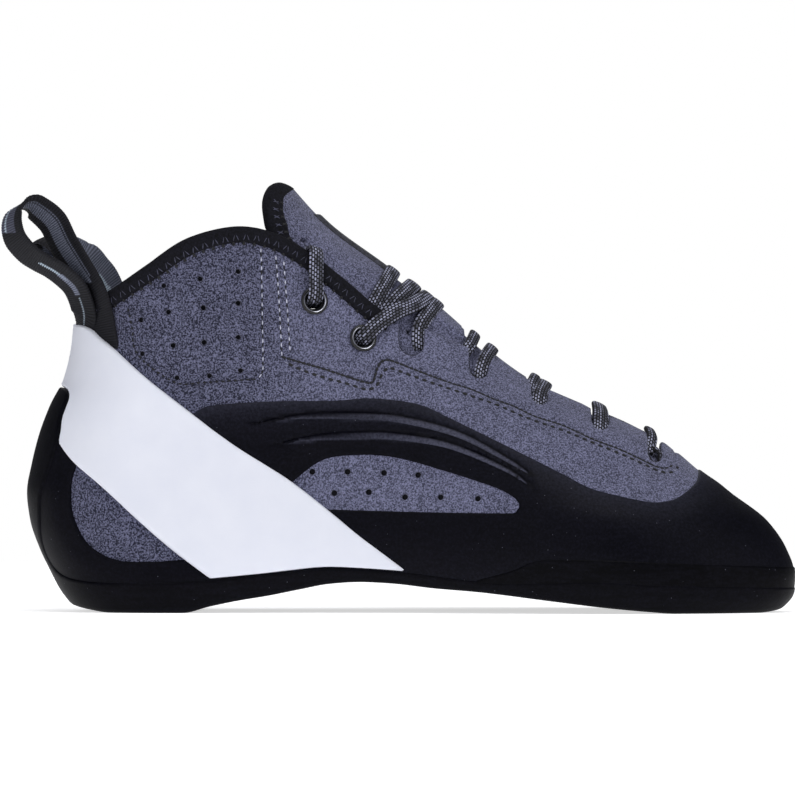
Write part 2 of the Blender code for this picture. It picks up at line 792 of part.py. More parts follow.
def make_tongue_binding(look):
    """Knit strip along the tongue's top and back edge."""
    top = TONGUE_FACE + TONGUE_BINDING_OVER
    depth = TONGUE_THICKNESS + 2 * TONGUE_BINDING_OVER
    strip = skin_shell("tongue_binding", wall_levels(0.71, 1.01), top - depth, top, look)
    keep(strip, side_prism("tongue_binding_region", side_line(TONGUE_BACK) + plain_points(TONGUE_AHEAD)))
    keep(strip, side_prism("tongue_binding_strip", binding_outline(0.0)))
    return tidy(strip)


def make_badge(look):
    """Plain badge on the ridge of the tongue."""
    base = TONGUE_FACE + BADGE_LIFT
    rows = 5
    low, high = BADGE_SPAN
    points = []
    for offset in (base, base + BADGE_THICKNESS):
        for k in range(rows + 1):
            level = (low + (high - low) * k / rows) * HEIGHT
            for side in range(-2, 3):
                y = BADGE_HALF_WIDTH * side / 2
                points.append(front_skin(level, y, offset))
    across = 5
    layer = across * (rows + 1)
    faces = []
    for k in range(rows):
        for j in range(across - 1):
            a = k * across + j
            faces.append((a, a + 1, a + across + 1, a + across))
            faces.append((layer + a, layer + a + across, layer + a + across + 1, layer + a + 1))
    for k in range(rows):
        for j in (0, across - 1):
            a = k * across + j
            faces.append((a, a + across, layer + a + across, layer + a))
    for j in range(across - 1):
        for k in (0, rows):
            a = k * across + j
            faces.append((a, a + 1, layer + a + 1, layer + a))
    return tidy(mesh_object("tongue_badge", points, faces, look))


def front_skin(level, y, offset):
    """Point on the front of the last at a level and a place across."""
    low = 0.5
    high = 1.0
    side = -1 if y <= 0 else 1
    for _ in range(40):
        middle = (low + high) / 2
        turn = middle if side < 0 else 2.0 - middle
        point = last_point(level, turn)
        centre, _ = half_width(point.x, level)
        if abs(point.y - centre) > abs(y):
            low = middle
        else:
            high = middle
    turn = low if side < 0 else 2.0 - low
    return skin(level, turn, offset)


def make_eyelet(name, place, height, side, look):
    """Metal eyelet: a flange on the suede and a barrel through the wall."""
    point, normal = skin_at(place, height, side, 0.0)
    base = 2 * GAP
    shoulder = base + EYELET_FLANGE * EYELET_SHOULDER
    crown = (EYELET_RADIUS + EYELET_BORE) / 2
    profile = [
        (EYELET_BORE, -WALL - EYELET_ROUND),
        (EYELET_BARREL, -WALL - EYELET_ROUND),
        (EYELET_BARREL, base),
        (EYELET_RADIUS, base),
        (EYELET_RADIUS - EYELET_ROUND, shoulder),
        (crown, base + EYELET_FLANGE),
        (EYELET_BORE + EYELET_ROUND, shoulder),
    ]
    return tidy(turned(name, point, normal, profile, EYELET_STEPS, look))


def lace_bar(name, start, end, lift, thick, look=None):
    """Flat strip over the throat from one side to the other, in plan."""
    steps = 5
    points = []
    rows = []
    for k in range(steps + 1):
        t = k / steps
        x = start[0] + (end[0] - start[0]) * t
        y = start[1] + (end[1] - start[1]) * t
        point, normal = ridge_skin(x, y, lift)
        rows.append((point, normal))
    for k, (point, normal) in enumerate(rows):
        ahead = rows[min(k + 1, steps)][0] - rows[max(k - 1, 0)][0]
        across = ahead.cross(normal).normalized() * LACE_WIDTH / 2
        low = point + normal * thick * LACE_BOW * math.sin(math.pi * k / steps)
        high = low + normal * thick
        points += [low - across, low + across, high + across, high - across]
    faces = [(0, 1, 2, 3), tuple(4 * steps + j for j in (3, 2, 1, 0))]
    for k in range(steps):
        for j in range(4):
            n = (j + 1) % 4
            a = 4 * k
            faces.append((a + j, a + 4 + j, a + 4 + n, a + n))
    return mesh_object(name, points, faces, look)


LACE_ROWS = [
    # place and half width in plan, shares of LENGTH; thickness, share of LACE_THICKNESS
    (0.300, 0.062, 1.00), (0.352, 0.050, 0.95), (0.436, 0.036, 0.80), (0.510, 0.030, 0.70),
    (0.588, 0.025, 0.65), (0.655, 0.018, 0.60),
]
LACE_BOW = 0.4


def make_lace(look):
    """The crossings over the throat, joined into one solid."""
    lace = None
    for number in range(len(LACE_ROWS) - 1):
        near = LACE_ROWS[number]
        far = LACE_ROWS[number + 1]
        for side in (-1, 1):
            ends = []
            for place, half in ((near[0], side * near[1]), (far[0], -side * far[1])):
                centre = smooth_table(PLAN, place, 1) * BALL_WIDTH
                ends.append((place * LENGTH, centre + half * LENGTH))
            thick = near[2] * LACE_THICKNESS
            lift = LACE_LIFT if side < 0 else LACE_LIFT + thick / 2
            name = "lace" if lace is None else f"lace_bar_{number}_{side}"
            bar = lace_bar(name, *ends, lift, thick, look if lace is None else None)
            if lace is None:
                lace = bar
            else:
                boolean(lace, guide(bar), "UNION")
    return tidy(lace)


LACE_END = [
    # place and height, shares of LENGTH and HEIGHT; offset from the last, share of LACE_CORD
    (0.215, 0.720, -2.30),
    (0.215, 0.721, -0.60),
    (0.215, 0.724, 0.55),
    (0.215, 0.745, 1.00),
    (0.213, 0.775, 1.12),
    (0.211, 0.815, 1.18),
    (0.210, 0.848, 1.00),
    (0.209, 0.866, 0.41),
    (0.209, 0.868, -0.12),
]


def make_lace_end(name, side, look):
    """Run of lace from a top eyelet over the collar's edge, tucked in behind it."""
    route = []
    for place, height, offset in LACE_END:
        point, _ = skin_at(place * LENGTH, height * HEIGHT, side, offset * LACE_CORD)
        route.append(point)
    line = smooth_line(route)
    curve = bpy.data.curves.new(name, "CURVE")
    curve.dimensions = "3D"
    curve.bevel_depth = LACE_CORD / 2
    curve.bevel_resolution = 1
    curve.use_fill_caps = True
    spline = curve.splines.new("POLY")
    spline.points.add(len(line) - 1)
    for spot, point in zip(spline.points, line):
        spot.co = (*point, 1.0)
    made = bpy.data.objects.new(name, curve)
    bpy.context.scene.collection.objects.link(made)
    curve.materials.append(look)
    return made


LOOP_ROOTS = [
    # turn from the heel's back, level as a share of HEIGHT, offset as a share of WEBBING_THICKNESS
    [(0.052, 0.684, 1.25), (0.052, 0.722, 2.62)],
    [(0.185, 0.722, 2.62), (0.178, 0.665, 1.25)],
]
LOOP = [
    # place, height, out: shares of LENGTH, HEIGHT, ANKLE_WIDTH
    (-0.1140, 0.773, 0.270),
    (-0.1450, 0.829, 0.350),
    (-0.1720, 0.880, 0.380),
    (-0.1800, 0.925, 0.340),
    (-0.1660, 0.948, 0.270),
    (-0.1450, 0.940, 0.230),
    (-0.1260, 0.900, 0.240),
    (-0.1080, 0.848, 0.280),
    (-0.0880, 0.785, 0.345),
]
LOOP_WIDE = (0.68, 0.57, 0.45)
FAR_LOOP_DROP = 0.085
FAR_LOOP_SHIFT = 0.052


def make_loop(name, side, look):
    """Webbing loop at the heel: a flat ribbon out, over and back."""
    roots = []
    for leg in LOOP_ROOTS:
        for turn, share, offset in leg:
            spot = turn if side < 0 else 2.0 - turn
            level = share * HEIGHT
            ahead = last_point(level, (spot + NORMAL_STEP) % 2.0)
            behind = last_point(level, (spot - NORMAL_STEP) % 2.0)
            root = skin(level, spot, offset * WEBBING_THICKNESS)
            roots.append((root, (ahead - behind).normalized() * -side))
    route = [roots[0], roots[1]]
    last = len(LOOP) - 1
    for index, (place, height, out) in enumerate(LOOP):
        free = math.sin(math.pi * (index + 1) / (last + 2)) ** 2
        drop = FAR_LOOP_DROP * free if side > 0 else 0.0
        slide = FAR_LOOP_SHIFT * free if side > 0 else 0.0
        spot = Vector(((place + slide) * LENGTH, side * out * ANKLE_WIDTH, (height - drop) * HEIGHT))
        route.append((spot, Vector((LOOP_WIDE[0], side * LOOP_WIDE[1], LOOP_WIDE[2]))))
    route += [roots[2], roots[3]]
    line = smooth_line([point for point, _ in route])
    count = len(line)
    points = []
    for k, point in enumerate(line):
        row = min(k // CURVE_STEPS, len(route) - 2)
        wide = route[row][1].lerp(route[row + 1][1], k / CURVE_STEPS - row)
        ahead = (line[min(k + 1, count - 1)] - line[max(k - 1, 0)]).normalized()
        wide = (wide - ahead * wide.dot(ahead)).normalized() * WEBBING_WIDTH / 2
        thick = ahead.cross(wide).normalized() * WEBBING_THICKNESS / 2
        points += [point - wide - thick, point + wide - thick, point + wide + thick, point - wide + thick]
    faces = [(0, 1, 2, 3), tuple(4 * (count - 1) + j for j in (3, 2, 1, 0))]
    for k in range(count - 1):
        for j in range(4):
            n = (j + 1) % 4
            a = 4 * k
            faces.append((a + j, a + 4 + j, a + 4 + n, a + n))
    return tidy(mesh_object(name, points, faces, look))


def remove_all():
    """Empties the scene."""
    for item in list(bpy.data.objects):
        bpy.data.objects.remove(item, do_unlink=True)


def main():
    """Builds every piece."""
    remove_all()
    looks = make_looks()
    make_outsole(looks["rubber"])
    make_upper(looks["suede"])
    make_insole(looks["board"])
    make_toe_rand(looks["rubber"])
    make_rand(looks["rubber"])
    make_band(looks["white"])
    make_heel_rand(looks["rubber"])
    make_collar_binding(looks["knit"])
    make_tongue(looks["suede"])
    make_tongue_binding(looks["knit"])
    make_badge(looks["badge"])
    for number, (place, height) in enumerate(EYELETS, 1):
        for side, word in ((-1, "near"), (1, "far")):
            make_eyelet(f"eyelet_{number}_{word}", place * LENGTH, height * HEIGHT, side, looks["metal"])
    make_lace(looks["lace"])
    for side, word in ((-1, "near"), (1, "far")):
        make_lace_end(f"lace_end_{word}", side, looks["lace"])
        make_loop(f"pull_loop_{word}", side, looks["webbing"])


main()
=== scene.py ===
"""Looks of the climbing shoe: suede upper, moulded rubber, white heel band, webbing loops, laces.

Metres, +Z up. The toe points along +X and the camera looks along +Y at the inner side.
"""

import math

import bmesh
import bpy
import numpy as np
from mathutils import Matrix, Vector


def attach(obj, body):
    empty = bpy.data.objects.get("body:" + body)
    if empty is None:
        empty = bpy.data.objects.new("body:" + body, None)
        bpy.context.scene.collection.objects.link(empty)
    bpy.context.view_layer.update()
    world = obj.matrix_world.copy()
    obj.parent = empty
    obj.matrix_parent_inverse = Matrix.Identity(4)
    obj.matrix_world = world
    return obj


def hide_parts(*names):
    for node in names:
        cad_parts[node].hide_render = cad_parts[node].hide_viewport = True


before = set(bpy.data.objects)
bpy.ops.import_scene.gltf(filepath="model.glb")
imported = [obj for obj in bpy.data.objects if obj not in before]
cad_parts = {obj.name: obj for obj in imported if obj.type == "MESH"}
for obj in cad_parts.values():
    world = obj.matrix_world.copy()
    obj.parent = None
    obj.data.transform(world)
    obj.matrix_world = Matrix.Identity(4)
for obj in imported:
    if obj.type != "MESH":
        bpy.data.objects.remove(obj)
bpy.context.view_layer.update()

MM = 0.001
LENGTH = 265.0 * MM
HEIGHT = 148.0 * MM
BALL_WIDTH = 91.0 * MM
HEEL_WIDTH = 59.0 * MM
ANKLE_WIDTH = 62.0 * MM
ARCH_RISE = 10.6 * MM
SOLE_THICKNESS = 4.5 * MM
FLAT_BASE = 12.0 * MM
ARCH_FADE_HEIGHT = 0.47
TONGUE_FACE = -2.9 * MM
IMAGE_WIDTH = 274.7 * MM
IMAGE_CENTRE = (85.5 * MM, 73.8 * MM)
CAMERA_DISTANCE = 3.0
LEVEL_GAP = 1.25 * MM
UPPER_TOP = 0.905
UPPER_LEVEL_GAP = 1.6 * MM
LINING_LEVEL_GAP = 2.2 * MM
FINE_LEVEL_GAP = 0.9 * MM
LINING_CLEARANCE = 0.3 * MM
EYELET_HOLE_RADIUS = 3.4 * MM
ANKLE_HOLE_RADIUS = 0.8 * MM
ARCH_HOLE_RADIUS = 1.0 * MM
TONGUE_HOLE_RADIUS = 0.85 * MM
COLLAR_BAND_WIDTH = 6.0 * MM
COLLAR_BAND_END = 0.311
RAND_FACE = 1.9 * MM
TOE_STRIP_FACE = 2.25 * MM
BAND_FACE = 2.5 * MM
SOLE_FACE = 2.5 * MM
GROOVE_DEPTH = 0.95 * MM
GROOVE_REACH = 2.7 * MM
GROOVE_WIDTH = 2.8 * MM
GROOVE_RAISE = 1.2 * MM
LOOP_STEP = 0.2 * MM
ZIGZAG_PITCH = 3.6 * MM
SEAM_PITCH = 1.75 * MM
ROW_PITCH = 2.9 * MM
STAY_PITCH = 3.1 * MM
PAD_PITCH = 2.1 * MM
BORDER_PITCH = 2.6 * MM
BOARD_THICKNESS = 2.4 * MM
BOARD_INSET = 2.6 * MM
HALVINGS = 30
MERGE_GAP = 0.004 * MM

# The last's level outlines, as in the part: height, back, front, nose, seat, ankle, swell.
LEVELS = [
    (0.000, -0.092, 0.812, 0.270, 0.118, 0.00, 0.92),
    (0.040, -0.109, 0.829, 0.272, 0.118, 0.00, 0.97),
    (0.081, -0.121, 0.831, 0.280, 0.122, 0.00, 1.00),
    (0.135, -0.135, 0.822, 0.295, 0.126, 0.00, 1.02),
    (0.203, -0.147, 0.798, 0.315, 0.130, 0.02, 1.02),
    (0.270, -0.151, 0.750, 0.340, 0.130, 0.12, 1.01),
    (0.338, -0.145, 0.706, 0.355, 0.126, 0.28, 1.00),
    (0.405, -0.136, 0.661, 0.360, 0.122, 0.46, 1.00),
    (0.473, -0.122, 0.583, 0.355, 0.116, 0.66, 1.00),
    (0.541, -0.103, 0.503, 0.345, 0.110, 0.84, 1.00),
    (0.622, -0.093, 0.440, 0.330, 0.104, 0.96, 1.00),
    (0.709, -0.089, 0.385, 0.295, 0.100, 1.00, 1.00),
    (0.811, -0.086, 0.312, 0.235, 0.100, 1.00, 1.01),
    (0.912, -0.083, 0.236, 0.200, 0.100, 1.00, 1.03),
    (1.014, -0.079, 0.183, 0.180, 0.100, 1.00, 1.03),
]
PLAN = [
    (-0.160, 0.000, 0.325), (0.000, 0.006, 0.330), (0.094, 0.022, 0.336), (0.189, 0.044, 0.350),
    (0.302, 0.060, 0.388), (0.415, 0.050, 0.445), (0.528, 0.028, 0.493), (0.604, 0.000, 0.500),
    (0.698, -0.040, 0.473), (0.774, -0.088, 0.418), (0.838, -0.132, 0.363),
]
ARCH = [
    (-0.160, 0.70), (-0.113, 0.34), (-0.075, 0.10), (-0.045, 0.00), (0.045, 0.00), (0.078, 0.20),
    (0.117, 0.40), (0.156, 0.56), (0.196, 0.76), (0.235, 0.94), (0.274, 1.00), (0.313, 0.96),
    (0.372, 0.80), (0.430, 0.68), (0.528, 0.38), (0.587, 0.20), (0.645, 0.06), (0.680, 0.00),
    (0.785, 0.00), (0.821, 0.12), (0.860, 0.30),
]

# Panel edges in side view, as in the part: shares of LENGTH and HEIGHT.
COLLAR_EDGE = [
    (-0.200, 0.690), (-0.081, 0.727), (-0.050, 0.752), (0.000, 0.808), (0.052, 0.867),
    (0.117, 0.897), (0.169, 0.881), (0.215, 0.834), (0.261, 0.769), (0.306, 0.703),
    (0.365, 0.655), (0.416, 0.616), (0.460, 0.590), (0.520, 0.570),
]
BAND_FRONT = [
    (-0.220, 0.690), (-0.098, 0.672), (-0.061, 0.630), (-0.001, 0.542), (0.104, 0.400),
    (0.185, 0.306), (0.272, 0.182), (0.342, 0.086), (0.352, 0.060),
]
BAND_BACK = [
    (-0.119, 0.395), (-0.098, 0.348), (-0.056, 0.285), (0.017, 0.168), (0.081, 0.077), (0.100, 0.050),
]
WRAP_EDGE = [
    (-0.220, 0.530), (-0.113, 0.523), (-0.115, 0.451), (-0.119, 0.395), (-0.124, 0.362),
    (-0.133, 0.315), (-0.141, 0.271), (-0.142, 0.206), (-0.140, 0.159), (-0.130, 0.114),
    (-0.112, 0.084), (-0.080, 0.072), (-0.030, 0.069), (0.017, 0.070), (0.081, 0.077),
]
SOLE_TOP = [
    (0.081, 0.077), (0.150, 0.089), (0.222, 0.103), (0.274, 0.101), (0.342, 0.092), (0.404, 0.078),
    (0.456, 0.070), (0.519, 0.072), (0.587, 0.075), (0.652, 0.068), (0.717, 0.065),
    (0.795, 0.061), (0.900, 0.058),
]
HEEL_WINDOW = [
    (-0.096, 0.343), (-0.102, 0.306), (-0.103, 0.259), (-0.098, 0.213), (-0.078, 0.154),
    (-0.033, 0.119), (0.049, 0.124),
]
RAND_TOP = [
    (0.030, 0.445), (0.061, 0.463), (0.083, 0.480), (0.155, 0.490), (0.239, 0.493), (0.289, 0.500),
    (0.349, 0.488), (0.394, 0.453), (0.454, 0.400), (0.535, 0.329), (0.576, 0.293), (0.640, 0.267),
    (0.666, 0.265), (0.687, 0.275), (0.712, 0.310), (0.740, 0.380), (0.900, 0.420),
]
TOE_RAND_TOP = [
    (0.425, 0.078), (0.470, 0.100), (0.508, 0.124), (0.600, 0.124), (0.700, 0.116), (0.833, 0.107),
    (0.900, 0.106),
]
ARCH_WINDOW = [
    (0.185, 0.300), (0.222, 0.350), (0.257, 0.364), (0.312, 0.362), (0.379, 0.332), (0.442, 0.297),
    (0.467, 0.276), (0.478, 0.257), (0.473, 0.238), (0.462, 0.234), (0.342, 0.236), (0.200, 0.243),
]
GROOVES = [
    [(0.130, 0.430), (0.180, 0.449), (0.229, 0.457), (0.279, 0.457), (0.330, 0.449), (0.404, 0.413),
     (0.472, 0.346), (0.500, 0.308)],
    [(0.158, 0.380), (0.192, 0.397), (0.229, 0.408), (0.267, 0.412), (0.317, 0.411), (0.391, 0.388),
     (0.467, 0.327), (0.502, 0.278)],
]
TONGUE_BACK = [
    (0.205, 0.980), (0.187, 0.990), (0.176, 0.998), (0.167, 1.001), (0.159, 0.993), (0.1535, 0.972),
    (0.1515, 0.949), (0.153, 0.918), (0.156, 0.892), (0.166, 0.860), (0.200, 0.770), (0.270, 0.655),
    (0.350, 0.560), (0.450, 0.470), (0.550, 0.385), (0.620, 0.325), (0.680, 0.285), (0.715, 0.270),
]
TONGUE_BINDING_EDGE = [
    (0.200, 1.000), (0.186, 0.980), (0.1765, 0.9645), (0.1750, 0.949), (0.1757, 0.926), (0.180, 0.903),
    (0.1875, 0.868), (0.212, 0.815),
]
BADGE_SPAN = (0.795, 0.935)
BADGE_HALF_WIDTH = 6.5 * MM
EYELETS = [(0.215, 0.722), (0.278, 0.636)]
NOTCHES = [
    (0.3415, 0.5965, 0.0045), (0.429, 0.544, 0.0034), (0.508, 0.483, 0.0029), (0.5865, 0.424, 0.0031),
    (0.6575, 0.350, 0.0025),
]
THROAT = [
    (0.360, 0.060), (0.410, 0.042), (0.470, 0.030), (0.550, 0.024), (0.610, 0.019), (0.650, 0.014),
    (0.668, 0.007), (0.671, 0.000),
]

# Stitched seams and punched holes on the suede, in the same shares.
QUARTER_SEAM = [
    (0.173, 0.593), (0.200, 0.578), (0.2255, 0.5655), (0.260, 0.545), (0.284, 0.532), (0.2915, 0.534),
    (0.2955, 0.560), (0.301, 0.580), (0.312, 0.585), (0.345, 0.563), (0.391, 0.532), (0.418, 0.517),
    (0.447, 0.495), (0.474, 0.478), (0.500, 0.4556), (0.5366, 0.434), (0.578, 0.400), (0.609, 0.379),
    (0.6405, 0.353), (0.659, 0.3375), (0.6717, 0.335), (0.679, 0.341), (0.684, 0.356), (0.690, 0.420),
]
LOWER_ROW = [
    (0.1747, 0.583), (0.198, 0.563), (0.221, 0.548), (0.258, 0.530), (0.2838, 0.5155), (0.2965, 0.525),
    (0.301, 0.546), (0.306, 0.566), (0.3125, 0.567), (0.345, 0.546), (0.391, 0.516), (0.418, 0.500),
    (0.4534, 0.479), (0.491, 0.450), (0.545, 0.4155), (0.578, 0.390), (0.6198, 0.3595), (0.655, 0.331),
    (0.6675, 0.3225), (0.680, 0.3245), (0.687, 0.336), (0.6875, 0.352),
]
PAD_SEAM = [
    (-0.030, 0.745), (-0.026, 0.708), (-0.020, 0.655), (-0.017, 0.610), (0.003, 0.570), (0.039, 0.531),
    (0.070, 0.533), (0.130, 0.540), (0.142, 0.541), (0.148, 0.552), (0.149, 0.580), (0.148, 0.700),
    (0.147, 0.805), (0.146, 0.850),
]
STAY_SEAMS = [
    [(0.165, 0.832), (0.168, 0.770), (0.171, 0.680), (0.1735, 0.590)],
    [(0.1755, 0.820), (0.178, 0.760), (0.181, 0.690), (0.184, 0.602)],
]
ANKLE_HOLES = [
    (0.021, 0.757), (0.068, 0.773), (0.117, 0.790), (0.027, 0.696), (0.072, 0.706), (0.117, 0.717),
    (-0.009, 0.678), (0.033, 0.619), (0.073, 0.626), (0.117, 0.638), (-0.007, 0.600), (0.038, 0.544),
    (0.080, 0.549), (0.120, 0.561),
]
ARCH_HOLES = [
    (0.2125, 0.327), (0.258, 0.327), (0.305, 0.325), (0.349, 0.320), (0.241, 0.278), (0.2855, 0.280),
    (0.332, 0.269), (0.378, 0.269), (0.426, 0.266),
]


def table_slopes(places, values):
    """Slopes at the rows of a table for a smooth curve that doesn't overshoot them."""
    chords = np.diff(values) / np.diff(places)
    slopes = np.zeros(len(places))
    before = chords[:-1]
    after = chords[1:]
    same = before * after > 0
    slopes[1:-1][same] = (2 * before * after)[same] / (before + after)[same]
    slopes[0] = chords[0]
    slopes[-1] = chords[-1]
    return slopes


def smooth_table(rows, key, column):
    """Values of a column at keys, on that smooth curve."""
    rows = np.asarray(rows, float)
    places = rows[:, 0]
    values = rows[:, column]
    slopes = table_slopes(places, values)
    key = np.clip(np.asarray(key, float), places[0], places[-1])
    i = np.clip(np.searchsorted(places, key) - 1, 0, len(places) - 2)
    span = places[i + 1] - places[i]
    t = (key - places[i]) / span
    rise = values[i + 1] - values[i]
    start = slopes[i] * span
    end = slopes[i + 1] * span
    return values[i] + t * (start + t * (3 * rise - 2 * start - end + t * (start + end - 2 * rise)))


def smooth_line(points, steps):
    """Points along a smooth line through the given ones."""
    points = np.asarray(points, float)
    last = len(points) - 1
    parts = []
    for i in range(last):
        p0 = points[max(i - 1, 0)]
        p1 = points[i]
        p2 = points[i + 1]
        p3 = points[min(i + 2, last)]
        t = (np.arange(steps) / steps)[:, None]
        parts.append(0.5 * (2 * p1 + (p2 - p0) * t + (2 * p0 - 5 * p1 + 4 * p2 - p3) * t * t
                            + (3 * p1 - p0 - 3 * p2 + p3) * t * t * t))
    parts.append(points[last:])
    return np.vstack(parts)


def side_line(shares, steps=8):
    """A side-view line in metres."""
    return smooth_line(np.asarray(shares) * (LENGTH, HEIGHT), steps)


def side_points(shares):
    """Corner points of a side-view outline in metres."""
    return np.asarray(shares, float) * (LENGTH, HEIGHT)


def spaced(line, gap):
    """Points at even gaps along a line."""
    line = np.asarray(line, float)
    steps = np.linalg.norm(np.diff(line, axis=0), axis=1)
    run = np.concatenate([[0.0], np.cumsum(steps)])
    count = max(int(round(run[-1] / gap)), 2)
    at = np.linspace(0.0, run[-1], count + 1)
    return np.stack([np.interp(at, run, line[:, k]) for k in range(line.shape[1])], axis=1)


def centre_at(x):
    """Middle of the last in plan."""
    return smooth_table(PLAN, x / LENGTH, 1) * BALL_WIDTH


def ends_of(level):
    """Back and front of the last at levels."""
    share = level / HEIGHT
    return smooth_table(LEVELS, share, 1) * LENGTH, smooth_table(LEVELS, share, 2) * LENGTH


def half_width(x, level):
    """Half width of the last at places and level heights."""
    share = level / HEIGHT
    back, front = ends_of(level)
    nose = smooth_table(LEVELS, share, 3) * LENGTH
    seat = smooth_table(LEVELS, share, 4) * LENGTH
    ankle = smooth_table(LEVELS, share, 5)
    swell = smooth_table(LEVELS, share, 6)
    sole = smooth_table(PLAN, x / LENGTH, 2) * BALL_WIDTH
    heel_share = np.clip((0.25 * LENGTH - x) / (0.25 * LENGTH), 0.0, 1.0)
    sole = sole + heel_share * (HEEL_WIDTH / 2 - 0.325 * BALL_WIDTH)
    half = sole * (1 - ankle) + ANKLE_WIDTH / 2 * ankle
    at_nose = np.clip((front - x) / nose, 0.0, 1.0)
    at_seat = np.clip((x - back) / seat, 0.0, 1.0)
    round_nose = np.sqrt(1 - (1 - at_nose) ** 2)
    round_seat = np.sqrt(1 - (1 - at_seat) ** 2)
    return half * swell * round_nose * round_seat


def raised(x, level):
    """Height of a level over the arch."""
    fade = np.maximum(1 - level / (ARCH_FADE_HEIGHT * HEIGHT), 0.0)
    return level + smooth_table(ARCH, x / LENGTH, 1) * ARCH_RISE * fade * fade


def last_point(level, turn):
    """Points on the last. turn runs 0 to 1 heel to toe on the inner side, then 1 to 2 back."""
    level = np.asarray(level, float)
    turn = np.asarray(turn, float) % 2.0
    back, front = ends_of(level)
    side = np.where(turn <= 1.0, -1.0, 1.0)
    along = np.where(turn <= 1.0, turn, 2.0 - turn)
    x = back + (front - back) * (1 - np.cos(math.pi * along)) / 2
    return np.stack([x, centre_at(x) + side * half_width(x, level), raised(x, level)], axis=-1)


def unit(vectors):
    """Vectors of length one."""
    return vectors / np.maximum(np.linalg.norm(vectors, axis=-1, keepdims=True), 1e-12)


def last_normal(level, turn):
    """Outward directions of the last."""
    level = np.asarray(level, float)
    turn = np.asarray(turn, float)
    around = last_point(level, turn + 0.004) - last_point(level, turn - 0.004)
    up = last_point(level + 0.6 * MM, turn) - last_point(np.maximum(level - 0.6 * MM, 0.0), turn)
    normal = unit(np.cross(around, up))
    normal[..., 2] *= np.minimum(level / FLAT_BASE, 1.0)
    return unit(normal)


def level_at(x, height):
    """Levels that pass through heights at places."""
    low = np.zeros_like(height)
    high = np.full_like(height, HEIGHT * 1.1)
    for _ in range(HALVINGS):
        middle = (low + high) / 2
        below = raised(x, middle) < height
        low = np.where(below, middle, low)
        high = np.where(below, high, middle)
    return low


def turn_at(x, level, outer):
    """Turns of places on the last, on its inner or outer side."""
    back, front = ends_of(level)
    along = np.arccos(np.clip(1 - 2 * (x - back) / (front - back), -1.0, 1.0)) / math.pi
    return np.where(outer, 2.0 - along, along)


def on_side(line, side):
    """Levels and turns of side-view points on one side of the last."""
    line = np.asarray(line, float)
    level = level_at(line[:, 0], line[:, 1])
    return level, turn_at(line[:, 0], level, side > 0)


def on_ridge(plan):
    """Levels and turns of plan points on the top of the last."""
    plan = np.asarray(plan, float)
    low = np.full(len(plan), 0.2 * HEIGHT)
    high = np.full(len(plan), HEIGHT * 1.012)
    off_centre = plan[:, 1] - centre_at(plan[:, 0])
    for _ in range(HALVINGS):
        middle = (low + high) / 2
        wide = half_width(plan[:, 0], middle) > abs(off_centre)
        low = np.where(wide, middle, low)
        high = np.where(wide, high, middle)
    return low, turn_at(plan[:, 0], low, off_centre > 0)


def depth_in(points, outline):
    """Distance of points inside a closed outline, negative outside it."""
    outline = np.asarray(outline, float)
    starts = outline
    ends = np.roll(outline, -1, axis=0)
    best = np.full(len(points), 1e9)
    inside = np.zeros(len(points), bool)
    px = points[:, 0]
    py = points[:, 1]
    for (ax, ay), (bx, by) in zip(starts, ends):
        dx = bx - ax
        dy = by - ay
        size = dx * dx + dy * dy
        if size < 1e-16:
            continue
        t = np.clip(((px - ax) * dx + (py - ay) * dy) / size, 0.0, 1.0)
        best = np.minimum(best, (px - ax - dx * t) ** 2 + (py - ay - dy * t) ** 2)
        if dy != 0.0:
            crosses = (ay > py) != (by > py)
            inside ^= crosses & (px < ax + (py - ay) * dx / dy)
    return np.where(inside, 1.0, -1.0) * np.sqrt(best)


def distance_to(points, line):
    """Distance of points to an open line."""
    best = np.full(len(points), 1e9)
    for (ax, ay), (bx, by) in zip(line[:-1], line[1:]):
        dx = bx - ax
        dy = by - ay
        t = np.clip(((points[:, 0] - ax) * dx + (points[:, 1] - ay) * dy) / (dx * dx + dy * dy), 0.0, 1.0)
        best = np.minimum(best, np.hypot(points[:, 0] - ax - dx * t, points[:, 1] - ay - dy * t))
    return best


def soft_step(value):
    """Smooth rise from 0 to 1."""
    value = np.clip(value, 0.0, 1.0)
    return value * value * (3 - 2 * value)


def divide(values, tris, share_of):
    """Splits triangle edges. share_of(edges) gives each edge's cut as a share, or -1."""
    corners = np.stack([tris, np.roll(tris, -1, axis=1)], axis=2)
    edges, which = np.unique(np.sort(corners.reshape(-1, 2), axis=1), axis=0, return_inverse=True)
    share = share_of(edges)
    chosen = share >= 0
    fresh = np.full(len(edges), -1)
    fresh[chosen] = len(values) + np.arange(chosen.sum())
    a = values[edges[chosen, 0]]
    b = values[edges[chosen, 1]]
    values = np.vstack([values, a + (b - a) * share[chosen][:, None]])
    middle = fresh[which.reshape(-1)].reshape(-1, 3)
    count = (middle >= 0).sum(axis=1)
    parts = [tris[count == 0]]
    for j in range(3):
        k = (j + 1) % 3
        m = (j + 2) % 3
        rows = (count == 1) & (middle[:, j] >= 0)
        v0, v1, v2 = tris[rows, j], tris[rows, k], tris[rows, m]
        new = middle[rows, j]
        parts.append(np.stack([v0, new, v2], axis=1))
        parts.append(np.stack([new, v1, v2], axis=1))
        rows = (count == 2) & (middle[:, j] < 0)
        v0, v1, v2 = tris[rows, j], tris[rows, k], tris[rows, m]
        m1 = middle[rows, k]
        m2 = middle[rows, m]
        parts.append(np.stack([v0, v1, m1], axis=1))
        parts.append(np.stack([v0, m1, m2], axis=1))
        parts.append(np.stack([m2, m1, v2], axis=1))
    rows = count == 3
    v0, v1, v2 = tris[rows].T
    m0, m1, m2 = middle[rows].T
    parts += [np.stack(t, axis=1) for t in ((v0, m0, m2), (m0, v1, m1), (m2, m1, v2), (m0, m1, m2))]
    return values, np.vstack(parts)


